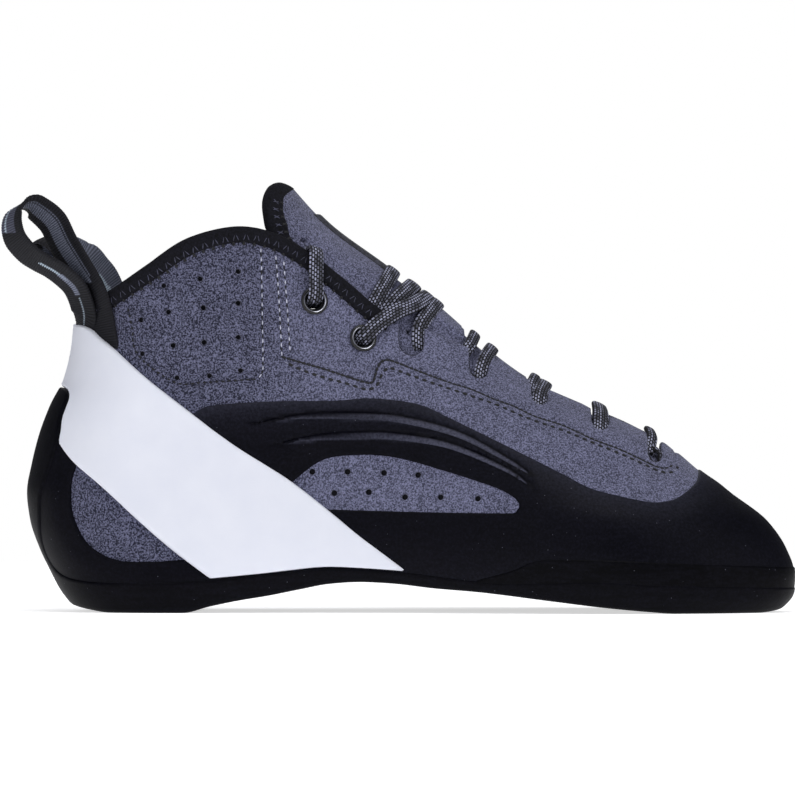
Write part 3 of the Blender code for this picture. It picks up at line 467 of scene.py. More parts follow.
def cut_at(values, tris, column, level):
    """Puts a row of edges where a column of values passes a level."""
    near = abs(values[:, column] - level) < 0.02 * MM
    values[near, column] = level

    def share_of(edges):
        a = values[edges[:, 0], column] - level
        b = values[edges[:, 1], column] - level
        crosses = a * b < 0
        share = np.full(len(edges), -1.0)
        share[crosses] = (a / np.where(crosses, a - b, 1.0))[crosses]
        return share

    return divide(values, tris, share_of)


def split_near(values, tris, chosen):
    """Halves every edge of the chosen triangles."""
    marked = np.unique(np.sort(np.stack([tris[chosen], np.roll(tris[chosen], -1, axis=1)],
                                        axis=2).reshape(-1, 2), axis=1), axis=0)
    keys = set(map(tuple, marked.tolist()))

    def share_of(edges):
        return np.array([0.5 if (a, b) in keys else -1.0 for a, b in edges.tolist()])

    return divide(values, tris, share_of)


def seam_relief(point, side):
    """Seams, pad and soft creases of the upper: height over the last."""
    flat = point[:, [0, 2]]
    height = np.zeros(len(point))
    quarter = depth_in(flat, QUARTER_REGION)
    height += 0.45 * MM * soft_step(quarter / (0.7 * MM) + 0.5)
    height -= 0.45 * MM * np.exp(-(quarter / (0.7 * MM)) ** 2)
    height -= 0.25 * MM * np.exp(-(distance_to(flat, LOWER_LINE) / (0.7 * MM)) ** 2)
    pad = depth_in(flat, PAD_REGION)
    height += 0.9 * MM * soft_step(pad / (9.0 * MM))
    height -= 0.35 * MM * np.exp(-(pad / (0.9 * MM)) ** 2)
    for line in STAY_LINES:
        height -= 0.22 * MM * np.exp(-(distance_to(flat, line) / (0.8 * MM)) ** 2)
    for (place, high), (across, up), depth in CREASES:
        dx = (point[:, 0] - place * LENGTH) / (across * MM)
        dz = (point[:, 2] - high * HEIGHT) / (up * MM)
        height += depth * MM * np.exp(-dx * dx - dz * dz)
    return height


QUARTER_REGION = np.vstack([side_line(QUARTER_SEAM), side_points([(0.90, 0.42), (0.90, 0.0), (0.0, 0.0),
                                                                 (0.0, 0.50), (0.150, 0.560)])])
LOWER_LINE = side_line(LOWER_ROW)
PAD_REGION = side_line(PAD_SEAM)
STAY_LINES = [side_line(line) for line in STAY_SEAMS]
CREASES = [
    # place and height as shares, reach along and up in mm, depth in mm
    ((0.235, 0.640), (9.0, 5.0), -0.5),
    ((0.390, 0.500), (10.0, 4.0), 0.4),
    ((0.060, 0.470), (16.0, 4.0), -0.5),
    ((0.560, 0.360), (14.0, 4.0), 0.3),
    ((0.175, 0.650), (3.0, 22.0), -0.3),
    ((0.460, 0.440), (12.0, 4.0), -0.3),
]


def panel(name, levels, around, depth, low, high, back, radius, relief=None, rolled=False,
          lines=(), fine=(), cap=None, taper=None, look=None):
    """A panel on the last with rounded edges.

    depth gives each point's distance inside the panel, low and high are its offsets at the edge
    and inside it, back is the offset of its hidden side and radius the width of its rounded edge.
    """
    count = len(around)
    level, turn = np.meshgrid(levels, around, indexing="ij")
    values = np.stack([level.ravel(), turn.ravel()], axis=1)
    k = np.arange(count - 1)
    tris = []
    for row in range(len(levels) - 1):
        a = row * count + k
        tris.append(np.stack([a, a + 1, a + count + 1], axis=1))
        tris.append(np.stack([a, a + count + 1, a + count], axis=1))
    tris = np.vstack(tris)
    for centres, reach in fine:
        for step in (1.0, 0.75):
            place = last_point(np.maximum(values[:, 0], 0.0), values[:, 1])
            middle = place[tris].mean(axis=1)
            near = np.zeros(len(tris), bool)
            for centre in centres:
                near |= np.linalg.norm(middle - centre, axis=1) < reach * step
            values, tris = split_near(values, tris, near)
    level = np.maximum(values[:, 0], 0.0)
    place = last_point(level, values[:, 1]) + last_normal(level, values[:, 1]) * high
    side = np.where(values[:, 1] <= 1.0, -1.0, 1.0)
    columns = [depth(place, side, values[:, 0])]
    for field, _ in lines:
        columns.append(field(place, side))
    values = np.column_stack([values] + columns)
    for share in (0.0, 0.12, 0.4, 1.0):
        values, tris = cut_at(values, tris, 2, share * radius)
        if share == 0.0:
            tris = tris[(values[tris, 2] > -1e-9).all(axis=1)]
    for index, (_, cuts) in enumerate(lines):
        for cut in cuts:
            values, tris = cut_at(values, tris, 3 + index, cut)
    used, tris = np.unique(tris, return_inverse=True)
    values = values[used]
    tris = tris.reshape(-1, 3)
    level = np.maximum(values[:, 0], 0.0)
    turn = values[:, 1]
    share = np.clip(values[:, 2] / radius, 0.0, 1.0)
    bow = np.sqrt(1 - (1 - share) ** 2)
    place = last_point(level, turn)
    normal = last_normal(level, turn)
    side = np.where(turn <= 1.0, -1.0, 1.0)
    lift = relief(place, side) if relief else np.zeros(len(place))
    if taper:
        bow = bow * (taper[0] + (1 - taper[0]) * soft_step(values[:, 2] / taper[1]))
    front = place + normal * (low + (high - low) * bow + lift * bow)[:, None]
    rear = place + normal * ((low + (back - low) * bow) if rolled else np.full(len(place), back))[:, None]
    if cap is not None:
        front, rear = cap(values, front, rear)
    total = len(front)
    edges = np.stack([tris, np.roll(tris, -1, axis=1)], axis=2).reshape(-1, 2)
    _, first, uses = np.unique(np.sort(edges, axis=1), axis=0, return_index=True, return_counts=True)
    rim = edges[first[uses == 1]]
    heel_line = (turn < 1e-9) | (turn > 2.0 - 1e-9)
    rim = rim[~heel_line[rim].all(axis=1)]
    walls = [np.stack([rim[:, 1], rim[:, 0], rim[:, 0] + total], axis=1),
             np.stack([rim[:, 1], rim[:, 0] + total, rim[:, 1] + total], axis=1)]
    faces = np.vstack([tris, tris[:, ::-1] + total] + walls)
    return solid(name, np.vstack([front, rear]), faces.tolist(), look)


def slab(name, front, rear, columns, look):
    """A closed sheet between two grids of points that are listed row by row."""
    count = len(front)
    grid = np.arange(count).reshape(-1, columns + 1)
    face = np.stack([grid[:-1, :-1], grid[:-1, 1:], grid[1:, 1:], grid[1:, :-1]], axis=-1).reshape(-1, 4)
    parts = [face, np.roll(face[:, ::-1], 1, axis=1) + count]
    for line in (grid[:, 0], grid[:, -1], grid[0], grid[-1]):
        parts.append(np.stack([line[:-1], line[1:], line[1:] + count, line[:-1] + count], axis=-1))
    return solid(name, np.vstack([front, rear]), np.vstack(parts).tolist(), look)


def solid(name, points, faces, look):
    """A smooth closed mesh object from points and faces."""
    mesh = bpy.data.meshes.new(name)
    mesh.from_pydata(np.asarray(points).tolist(), [], faces)
    work = bmesh.new()
    work.from_mesh(mesh)
    bmesh.ops.remove_doubles(work, verts=work.verts, dist=MERGE_GAP)
    bmesh.ops.dissolve_degenerate(work, edges=work.edges, dist=MERGE_GAP)
    bmesh.ops.recalc_face_normals(work, faces=work.faces)
    work.to_mesh(mesh)
    work.free()
    made = bpy.data.objects.new(name, mesh)
    bpy.context.scene.collection.objects.link(made)
    mesh.shade_smooth()
    mesh.set_sharp_from_angle(angle=math.radians(50))
    mesh.materials.append(look)
    return made


def fine_levels(low, high, gap=LEVEL_GAP):
    """Level heights at even gaps."""
    return np.linspace(low, high, int(round((high - low) / gap)) + 1)


AROUND = np.linspace(0.0, 2.0, 401)


def moved(line, distance):
    """A side-view line moved to its left."""
    ahead = np.vstack([line[1:], line[-1:]])
    behind = np.vstack([line[:1], line[:-1]])
    along = unit(ahead - behind)
    return line + np.stack([-along[:, 1], along[:, 0]], axis=1) * distance


SOLE_REGION = np.vstack([
    side_line(WRAP_EDGE)[:-1], side_line(SOLE_TOP), side_points([(0.90, -0.2), (-0.22, -0.2)]),
])
BAND_REGION = np.vstack([side_line(BAND_FRONT), side_line(BAND_BACK)[::-1], side_points([(-0.22, 0.45)])])
TOE_RAND_REGION = np.vstack([side_line(TOE_RAND_TOP), side_points([(0.90, -0.05), (0.36, -0.05)])])
COLLAR_LINE = side_line(COLLAR_EDGE)
COLLAR_REGION = np.vstack([
    COLLAR_LINE, side_points([(0.95, 0.57), (0.95, -0.2), (-0.3, -0.2), (-0.3, 0.69)]),
])
THROAT_LINE = smooth_line(np.asarray(THROAT) * LENGTH, 6)
THROAT_CENTRE = centre_at(THROAT_LINE[:, 0])
THROAT_REGION = np.vstack([
    np.stack([THROAT_LINE[:, 0], THROAT_CENTRE - THROAT_LINE[:, 1]], axis=1),
    np.stack([THROAT_LINE[:, 0], THROAT_CENTRE + THROAT_LINE[:, 1]], axis=1)[::-1][1:],
])


def side_spot(share, side, lift=0.0):
    """Point over the last at a side-view share."""
    level, turn = on_side(side_points([share]), side)
    return (last_point(level, turn) + last_normal(level, turn) * lift)[0]


def notch_outline(place, foot, half):
    """Side-view outline of a lace slot, open at the top."""
    angles = math.pi + math.pi * np.arange(13) / 12
    base = foot * HEIGHT + half
    low = np.stack([place * LENGTH + half * np.cos(angles), base + half * np.sin(angles)], axis=1)
    top = base + 0.2 * HEIGHT
    return np.vstack([low, [(place * LENGTH + half, top), (place * LENGTH - half, top)]])


def opening_depth(place, holes):
    """Distance outside the throat, the slots and the holes."""
    depth = -depth_in(place[:, :2], THROAT_REGION)
    for place_share, foot, half in NOTCHES:
        depth = np.minimum(depth, -depth_in(place[:, [0, 2]], notch_outline(place_share, foot, half)))
    for centre, radius in holes:
        depth = np.minimum(depth, np.linalg.norm(place - centre, axis=1) - radius)
    return depth


def upper_depth(place, side, level):
    """Distance inside the suede upper from the collar and its openings."""
    depth = depth_in(place[:, [0, 2]], COLLAR_REGION) - 2.5 * MM * (place[:, 0] < 0.32 * LENGTH)
    return np.minimum(depth, opening_depth(place, UPPER_HOLES))


def lining_depth(place, side, level):
    """Distance inside the lining from the collar and its openings."""
    depth = depth_in(place[:, [0, 2]], COLLAR_REGION) - 2.0 * MM
    return np.minimum(depth, opening_depth(place, EYELET_HOLES))


EYELET_SPOTS = [side_spot(share, side) for share in EYELETS for side in (-1, 1)]
ANKLE_SPOTS = [side_spot(share, side) for share in ANKLE_HOLES for side in (-1, 1)]
ARCH_SPOTS = [side_spot(share, -1) for share in ARCH_HOLES]
EYELET_HOLES = [(spot, EYELET_HOLE_RADIUS) for spot in EYELET_SPOTS]
UPPER_HOLES = (EYELET_HOLES + [(spot, ANKLE_HOLE_RADIUS) for spot in ANKLE_SPOTS]
               + [(spot, ARCH_HOLE_RADIUS) for spot in ARCH_SPOTS])


def linear(code):
    """Linear colour from an sRGB hex value."""
    parts = [int(code[i:i + 2], 16) / 255 for i in (1, 3, 5)]
    return tuple(p / 12.92 if p <= 0.04045 else ((p + 0.055) / 1.055) ** 2.4 for p in parts) + (1.0,)


def node(tree, kind, settings=None, inputs=None):
    """Adds a node with its settings; inputs are values or the sockets they are linked from."""
    made = tree.nodes.new(kind)
    for name, value in (settings or {}).items():
        setattr(made, name, value)
    for name, value in (inputs or {}).items():
        if isinstance(value, bpy.types.NodeSocket):
            tree.links.new(value, made.inputs[name])
        else:
            made.inputs[name].default_value = value
    return made


def empty_material(name):
    """A material with an empty tree."""
    made = bpy.data.materials.new(name)
    made.use_nodes = True
    made.node_tree.nodes.clear()
    return made, made.node_tree


def brushed_suede():
    """Brushed split leather: nap of half a millimetre in patches, a speckled matt blue-grey.

    The colour is darker towards the heel and ankle.
    """
    made, tree = empty_material("brushed suede")
    place = node(tree, "ShaderNodeTexCoord").outputs["Object"]
    nap = node(tree, "ShaderNodeTexNoise", inputs={
        "Vector": place, "Scale": 1 / (0.55 * MM), "Detail": 2.0, "Roughness": 0.65})
    parts = node(tree, "ShaderNodeSeparateXYZ", inputs={0: place})
    # Darkens the colour towards the heel and ankle.
    rear = node(tree, "ShaderNodeMapRange", {"interpolation_type": "SMOOTHSTEP"}, {
        "Value": parts.outputs["X"], "From Min": 62 * MM, "From Max": 30 * MM, "To Max": 0.22})
    patch = node(tree, "ShaderNodeTexNoise", inputs={"Vector": place, "Scale": 1 / (9 * MM), "Detail": 3.0})
    speck = node(tree, "ShaderNodeMapRange", inputs={
        "Value": nap.outputs["Fac"], "From Min": 0.41, "From Max": 0.61, "To Max": 0.8})
    mottled = node(tree, "ShaderNodeMath", {"operation": "MULTIPLY_ADD"},
                   {0: patch.outputs["Fac"], 1: 0.3, 2: speck.outputs[0]})
    tone = node(tree, "ShaderNodeMath", {"operation": "SUBTRACT"},
                {0: mottled.outputs[0], 1: rear.outputs[0]})
    colour = node(tree, "ShaderNodeMix", {"data_type": "RGBA"},
                  {0: tone.outputs[0], 6: linear("#1d1e2d"), 7: linear("#7d7f9d")})
    relief = node(tree, "ShaderNodeBump", inputs={
        "Strength": 0.8, "Distance": 0.3 * MM, "Height": nap.outputs["Fac"]})
    shader = node(tree, "ShaderNodeBsdfPrincipled", inputs={
        "Base Color": colour.outputs[2], "Roughness": 0.95, "Specular IOR Level": 0.2,
        "Sheen Weight": 0.12, "Sheen Roughness": 0.5, "Normal": relief.outputs[0]})
    node(tree, "ShaderNodeOutputMaterial", inputs={"Surface": shader.outputs[0]})
    return made


def moulded_rubber(name, dark, light, streak=0.0):
    """Sticky climbing rubber, pressed in a mould: satin black, dusty pores, fine scuffs along the foot.

    The attribute "worn" greys it: dust along the suede, and painted light on the lit slopes of the grooves.
    """
    made, tree = empty_material(name)
    place = node(tree, "ShaderNodeTexCoord").outputs["Object"]
    grain = node(tree, "ShaderNodeTexNoise", inputs={
        "Vector": place, "Scale": 1 / (0.9 * MM), "Detail": 5.0, "Roughness": 0.7})
    cloud = node(tree, "ShaderNodeTexNoise", inputs={
        "Vector": place, "Scale": 1 / (22 * MM), "Detail": 3.0})
    stretched = node(tree, "ShaderNodeMapping", inputs={"Vector": place, "Scale": (0.08, 1.0, 1.0)})
    scuffs = node(tree, "ShaderNodeTexNoise", inputs={
        "Vector": stretched.outputs[0], "Scale": 1 / (1.4 * MM), "Detail": 4.0})
    base = node(tree, "ShaderNodeMath", {"operation": "MULTIPLY_ADD"},
                {0: scuffs.outputs["Fac"], 1: 0.25 + streak, 2: grain.outputs["Fac"]})
    worn = node(tree, "ShaderNodeMapRange", inputs={
        "Value": base.outputs[0], "From Min": 0.56 + 0.45 * streak, "From Max": 0.9 + 0.6 * streak})
    dusty = node(tree, "ShaderNodeMath", {"operation": "MULTIPLY_ADD"},
                 {0: cloud.outputs["Fac"], 1: 0.3, 2: worn.outputs[0]})
    body = node(tree, "ShaderNodeMix", {"data_type": "RGBA"},
                {0: dusty.outputs[0], 6: linear(dark), 7: linear(light)})
    dust = node(tree, "ShaderNodeTexVoronoi", inputs={"Vector": place, "Scale": 1 / (3.4 * MM)})
    speck = node(tree, "ShaderNodeMapRange", inputs={
        "Value": dust.outputs["Distance"], "From Min": 0.055, "From Max": 0.02, "To Max": 0.35})
    # Grey from the rand's attribute: dust along the suede, and painted light on the lit slopes of the
    # grooves.
    dust_and_painted_light_in = node(tree, "ShaderNodeAttribute", {"attribute_name": "worn"})
    pores = node(tree, "ShaderNodeMapRange", inputs={
        "Value": grain.outputs["Fac"], "From Min": 0.3, "From Max": 0.7, "To Min": 0.4, "To Max": 1.5})
    greying = node(tree, "ShaderNodeMath", {"operation": "MULTIPLY"},
                   {0: dust_and_painted_light_in.outputs["Fac"], 1: pores.outputs[0]})
    greyed = node(tree, "ShaderNodeMix", {"data_type": "RGBA"},
                  {0: greying.outputs[0], 6: body.outputs[2], 7: linear("#4a4b5c")})
    colour = node(tree, "ShaderNodeMix", {"data_type": "RGBA"},
                  {0: speck.outputs[0], 6: greyed.outputs[2], 7: linear("#9a9cae")})
    gloss = node(tree, "ShaderNodeMapRange", inputs={
        "Value": cloud.outputs["Fac"], "To Min": 0.42, "To Max": 0.58})
    relief = node(tree, "ShaderNodeBump", inputs={
        "Strength": 0.4, "Distance": 0.12 * MM, "Height": base.outputs[0]})
    shader = node(tree, "ShaderNodeBsdfPrincipled", inputs={
        "Base Color": colour.outputs[2], "Roughness": gloss.outputs[0], "Specular IOR Level": 0.06,
        "Normal": relief.outputs[0]})
    node(tree, "ShaderNodeOutputMaterial", inputs={"Surface": shader.outputs[0]})
    return made


def white_rubber():
    """Calendered white rubber sheet: smooth, faint orange peel, a cool shade."""
    made, tree = empty_material("white rubber band")
    place = node(tree, "ShaderNodeTexCoord").outputs["Object"]
    cloud = node(tree, "ShaderNodeTexNoise", inputs={
        "Vector": place, "Scale": 1 / (16 * MM), "Detail": 3.0})
    grain = node(tree, "ShaderNodeTexNoise", inputs={
        "Vector": place, "Scale": 1 / (0.9 * MM), "Detail": 3.0})
    colour = node(tree, "ShaderNodeMix", {"data_type": "RGBA"},
                  {0: cloud.outputs["Fac"], 6: linear("#dee1ee"), 7: linear("#eceef7")})
    relief = node(tree, "ShaderNodeBump", inputs={
        "Strength": 0.4, "Distance": 0.06 * MM, "Height": grain.outputs["Fac"]})
    shader = node(tree, "ShaderNodeBsdfPrincipled", inputs={
        "Base Color": colour.outputs[2], "Roughness": 0.5, "Specular IOR Level": 0.4,
        "Normal": relief.outputs[0]})
    node(tree, "ShaderNodeOutputMaterial", inputs={"Surface": shader.outputs[0]})
    return made


def white_floor():
    """White card under the shoe, lit through from below, so only the nearest shadow shows on it."""
    made, tree = empty_material("white card floor")
    place = node(tree, "ShaderNodeTexCoord").outputs["Object"]
    cloud = node(tree, "ShaderNodeTexNoise", inputs={"Vector": place, "Scale": 3.0})
    colour = node(tree, "ShaderNodeMix", {"data_type": "RGBA"},
                  {0: cloud.outputs["Fac"], 6: linear("#f4f4f6"), 7: linear("#fcfcfd")})
    shader = node(tree, "ShaderNodeBsdfPrincipled", inputs={
        "Base Color": colour.outputs[2], "Roughness": 0.95, "Specular IOR Level": 0.0,
        "Emission Color": (1.0, 1.0, 1.0, 1.0), "Emission Strength": 0.62})
    node(tree, "ShaderNodeOutputMaterial", inputs={"Surface": shader.outputs[0]})
    return made


def knit_edge():
    """Fine knit elastic folded over the edge: nearly black, with loops under a millimetre."""
    made, tree = empty_material("knit binding")
    place = node(tree, "ShaderNodeTexCoord").outputs["Object"]
    loops = node(tree, "ShaderNodeTexVoronoi", inputs={"Vector": place, "Scale": 1 / (0.75 * MM)})
    colour = node(tree, "ShaderNodeMix", {"data_type": "RGBA"},
                  {0: loops.outputs["Distance"], 6: linear("#161620"), 7: linear("#040407")})
    relief = node(tree, "ShaderNodeBump", inputs={
        "Strength": 0.7, "Distance": -0.25 * MM, "Height": loops.outputs["Distance"]})
    shader = node(tree, "ShaderNodeBsdfPrincipled", inputs={
        "Base Color": colour.outputs[2], "Roughness": 0.9, "Specular IOR Level": 0.2,
        "Normal": relief.outputs[0]})
    node(tree, "ShaderNodeOutputMaterial", inputs={"Surface": shader.outputs[0]})
    return made


def plain_finish(name, dark, light, grain, roughness, metallic=0.0, relief=0.0):
    """A small part's finish, mottled at its own grain in metres."""
    made, tree = empty_material(name)
    place = node(tree, "ShaderNodeTexCoord").outputs["Object"]
    cloud = node(tree, "ShaderNodeTexNoise", inputs={"Vector": place, "Scale": 1 / grain, "Detail": 3.0})
    tone = node(tree, "ShaderNodeMapRange", inputs={
        "Value": cloud.outputs["Fac"], "From Min": 0.3, "From Max": 0.7})
    colour = node(tree, "ShaderNodeMix", {"data_type": "RGBA"},
                  {0: tone.outputs[0], 6: linear(dark), 7: linear(light)})
    inputs = {"Base Color": colour.outputs[2], "Roughness": roughness, "Metallic": metallic}
    if relief:
        bumps = node(tree, "ShaderNodeBump", inputs={
            "Strength": 0.6, "Distance": relief, "Height": cloud.outputs["Fac"]})
        inputs["Normal"] = bumps.outputs[0]
    shader = node(tree, "ShaderNodeBsdfPrincipled", inputs=inputs)
    node(tree, "ShaderNodeOutputMaterial", inputs={"Surface": shader.outputs[0]})
    return made


def woven_lace():
    """Flat polyester braid: black rows a millimetre apart, lavender flecks along them in patches."""
    made, tree = empty_material("braided lace")
    where = node(tree, "ShaderNodeUVMap", {"uv_map": "weave"}).outputs[0]
    parts = node(tree, "ShaderNodeSeparateXYZ", inputs={0: where})
    column = node(tree, "ShaderNodeMath", {"operation": "DIVIDE"}, {0: parts.outputs["X"], 1: 0.95 * MM})
    number = node(tree, "ShaderNodeMath", {"operation": "FLOOR"}, {0: column.outputs[0]})
    across = node(tree, "ShaderNodeMath", {"operation": "PINGPONG"}, {0: column.outputs[0], 1: 0.5})
    row = node(tree, "ShaderNodeMapRange", {"interpolation_type": "SMOOTHSTEP"}, {
        "Value": across.outputs[0], "From Min": 0.1, "From Max": 0.3})
    step = node(tree, "ShaderNodeMath", {"operation": "DIVIDE"}, {0: parts.outputs["Y"], 1: 1.5 * MM})
    shifted = node(tree, "ShaderNodeMath", {"operation": "MULTIPLY_ADD"},
                   {0: number.outputs[0], 1: 0.37, 2: step.outputs[0]})
    along = node(tree, "ShaderNodeMath", {"operation": "PINGPONG"}, {0: shifted.outputs[0], 1: 0.5})
    dash = node(tree, "ShaderNodeMapRange", {"interpolation_type": "SMOOTHSTEP"}, {
        "Value": along.outputs[0], "From Min": 0.12, "From Max": 0.26})
    spread = node(tree, "ShaderNodeMapping", inputs={"Vector": where, "Scale": (1.0, 0.35, 1.0)})
    patch = node(tree, "ShaderNodeTexNoise", {"noise_dimensions": "2D"},
                 {"Vector": spread.outputs[0], "Scale": 1 / (2.2 * MM), "Detail": 1.0})
    gate = node(tree, "ShaderNodeMapRange", inputs={
        "Value": patch.outputs["Fac"], "From Min": 0.38, "From Max": 0.60, "To Min": 0.2})
    fleck = node(tree, "ShaderNodeMath", {"operation": "MULTIPLY"}, {0: row.outputs[0], 1: dash.outputs[0]})
    shown = node(tree, "ShaderNodeMath", {"operation": "MULTIPLY"},
                 {0: fleck.outputs[0], 1: gate.outputs[0]})
    colour = node(tree, "ShaderNodeMix", {"data_type": "RGBA"},
                  {0: shown.outputs[0], 6: linear("#08080c"), 7: linear("#a2a4bd")})
    relief = node(tree, "ShaderNodeBump", inputs={
        "Strength": 0.8, "Distance": 0.25 * MM, "Height": row.outputs[0]})
    shader = node(tree, "ShaderNodeBsdfPrincipled", inputs={
        "Base Color": colour.outputs[2], "Roughness": 0.75, "Specular IOR Level": 0.3,
        "Normal": relief.outputs[0]})
    node(tree, "ShaderNodeOutputMaterial", inputs={"Surface": shader.outputs[0]})
    return made


def ribbed_webbing():
    """Nylon webbing woven with crosswise ribs; the yarn colours, with painted highlights and sheen, are
    laid on as a tint.
    """
    made, tree = empty_material("ribbed webbing")
    tint = node(tree, "ShaderNodeAttribute", {"attribute_name": "tint"})
    place = node(tree, "ShaderNodeTexCoord").outputs["Object"]
    fibre = node(tree, "ShaderNodeTexNoise", inputs={
        "Vector": place, "Scale": 1 / (0.5 * MM), "Detail": 2.0})
    shade = node(tree, "ShaderNodeMapRange", inputs={
        "Value": fibre.outputs["Fac"], "To Min": 0.7, "To Max": 1.3})
    colour = node(tree, "ShaderNodeVectorMath", {"operation": "SCALE"},
                  {0: tint.outputs["Color"], "Scale": shade.outputs[0]})
    relief = node(tree, "ShaderNodeBump", inputs={
        "Strength": 0.5, "Distance": 0.05 * MM, "Height": fibre.outputs["Fac"]})
    shader = node(tree, "ShaderNodeBsdfPrincipled", inputs={
        "Base Color": colour.outputs[0], "Roughness": 0.75, "Specular IOR Level": 0.25,
        "Normal": relief.outputs[0]})
    node(tree, "ShaderNodeOutputMaterial", inputs={"Surface": shader.outputs[0]})
    return made


LOOKS = {
    "suede": brushed_suede(),
    "rubber": moulded_rubber("moulded rubber", "#030308", "#0f0f19"),
    "toe": moulded_rubber("skived toe rubber", "#000002", "#0a0a12", 0.6),
    "sole": moulded_rubber("outsole rubber", "#010104", "#0c0c15", 0.3),
    "white": white_rubber(),
    "knit": knit_edge(),
    "lining": plain_finish("brushed lining", "#101017", "#1c1c25", 3 * MM, 0.95, 0.0, 0.1 * MM),
    "board": plain_finish("lasting board", "#34343f", "#454552", 5 * MM, 0.9, 0.0, 0.1 * MM),
    "metal": plain_finish("black painted brass", "#060609", "#0e0e13", 5 * MM, 0.4),
    "bright": plain_finish("worn bright edge", "#c8cad8", "#e6e8f2", 3 * MM, 0.3, 0.9),
    "badge": plain_finish("moulded plain badge", "#050507", "#3a3b48", 0.8 * MM, 0.6, 0.0, 0.15 * MM),
    "lace": woven_lace(),
    "webbing": ribbed_webbing(),
    "thread": plain_finish("pale thread", "#a4a6bb", "#d2d4e4", 1.2 * MM, 0.7),
    "dull_thread": plain_finish("grey thread", "#5c5d72", "#a0a2b8", 1.2 * MM, 0.7),
    "black_thread": plain_finish("black thread", "#060609", "#14141c", 1.2 * MM, 0.7),
    "slate_thread": plain_finish("slate thread", "#2e2f3d", "#474860", 1.2 * MM, 0.7),
}


def finish(piece, slot, *nodes):
    """Rides the piece on the shoe and hides the parts it stands for."""
    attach(piece, "root")
    if nodes:
        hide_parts(*nodes)
    return piece


def make_camera():
    """Long lens square on the inner side, at the photograph's framing."""
    data = bpy.data.cameras.new("camera")
    data.sensor_width = 36.0
    data.lens = 36.0 * CAMERA_DISTANCE / IMAGE_WIDTH
    data.clip_end = 50.0
    camera = bpy.data.objects.new("camera", data)
    camera.location = (IMAGE_CENTRE[0], -CAMERA_DISTANCE, IMAGE_CENTRE[1])
    camera.rotation_euler = (math.pi / 2, 0.0, 0.0)
    bpy.context.scene.collection.objects.link(camera)
    bpy.context.scene.camera = camera


def softbox(name, place, target, size, power):
    """A square soft light."""
    data = bpy.data.lights.new(name, "AREA")
    data.shape = "SQUARE"
    data.size = size
    data.energy = power
    lamp = bpy.data.objects.new(name, data)
    lamp.location = place
    lamp.rotation_euler = (Vector(target) - Vector(place)).to_track_quat("-Z", "Y").to_euler()
    bpy.context.scene.collection.objects.link(lamp)


def make_studio():
    """Pale floor, white surroundings and soft lights."""
    bpy.context.scene.view_settings.view_transform = "Standard"
    mesh = bpy.data.meshes.new("floor")
    corners = [(-2.5, -2.5, 0.0), (2.5, -2.5, 0.0), (2.5, 0.9, 0.0), (-2.5, 0.9, 0.0)]
    mesh.from_pydata(corners, [], [(0, 1, 2, 3)])
    floor = bpy.data.objects.new("floor", mesh)
    bpy.context.scene.collection.objects.link(floor)
    mesh.materials.append(white_floor())
    world = bpy.data.worlds.new("studio")
    bpy.context.scene.world = world
    world.use_nodes = True
    tree = world.node_tree
    tree.nodes.clear()
    seen = node(tree, "ShaderNodeLightPath").outputs["Is Camera Ray"]
    dim = node(tree, "ShaderNodeBackground", inputs={"Color": (0.92, 0.94, 1.0, 1.0), "Strength": 0.17})
    bright = node(tree, "ShaderNodeBackground", inputs={"Color": (1.0, 1.0, 1.0, 1.0), "Strength": 1.0})
    mixed = node(tree, "ShaderNodeMixShader", inputs={0: seen, 1: dim.outputs[0], 2: bright.outputs[0]})
    node(tree, "ShaderNodeOutputWorld", inputs={0: mixed.outputs[0]})
    # Each light: its place and its edge in metres, and its power in watts.
    for name, place, size, power in (
        ("top box", (0.15, -0.35, 1.3), 0.9, 8.0),
        ("front box", (-0.7, -1.4, 0.7), 1.0, 4.4),
        ("toe box", (1.3, -0.7, 0.6), 0.8, 3.5),
        ("back box", (0.0, 1.3, 1.0), 1.0, 3.5),
    ):
        softbox(name, place, (0.09, 0.0, 0.06), size, power)


def make_upper():
    """Suede upper with slots, punched holes and stitched relief, and its lining."""
    base = SOLE_THICKNESS + LINING_CLEARANCE
    top = UPPER_TOP * HEIGHT
    lines = [
        (lambda place, side: depth_in(place[:, [0, 2]], QUARTER_REGION), (-0.35 * MM, 0.35 * MM)),
        (lambda place, side: depth_in(place[:, [0, 2]], PAD_REGION), (0.0,)),
    ]
    fine = [(ANKLE_SPOTS + ARCH_SPOTS, 2.4 * MM), (EYELET_SPOTS, 4.6 * MM)]
    upper = panel("suede_upper", fine_levels(base, top, UPPER_LEVEL_GAP), np.linspace(0.0, 2.0, 321),
                  upper_depth, -0.5 * MM, 0.0, -1.2 * MM, 0.6 * MM, seam_relief, lines=lines, fine=fine,
                  look=LOOKS["suede"])
    finish(upper, "suede", "upper")
    lining = panel("lining", fine_levels(base, top, LINING_LEVEL_GAP), np.linspace(0.0, 2.0, 241),
                   lining_depth, -1.3 * MM, -1.3 * MM, -2.0 * MM, 0.4 * MM, look=LOOKS["lining"])
    finish(lining, "suede")


def groove_relief(place, side):
    """Two crescent grooves on the inner side, deep at their upper lip and sloping out below it."""
    flat = place[:, [0, 2]]
    height = np.zeros(len(place))
    for line, region in zip(GROOVE_LINES, GROOVE_REGIONS):
        inside = depth_in(flat, region)
        top = distance_to(flat, line)
        share = np.clip(top / GROOVE_REACH, 0.0, 1.0)
        dip = -GROOVE_DEPTH * (1 - share) * soft_step(inside / (0.35 * MM) + 0.2)
        height += np.where(side < 0, dip, 0.0)
    return height


def crescent(line, width):
    """Closed crescent below a line, widest past its middle."""
    share = np.linspace(0.0, 1.0, len(line))
    below = moved(line, -1.0) - line
    low = line + below * (width * np.sin(math.pi * np.clip(share ** 1.15, 0.001, 0.999)) ** 0.7)[:, None]
    return np.vstack([line, low[::-1][1:-1]])


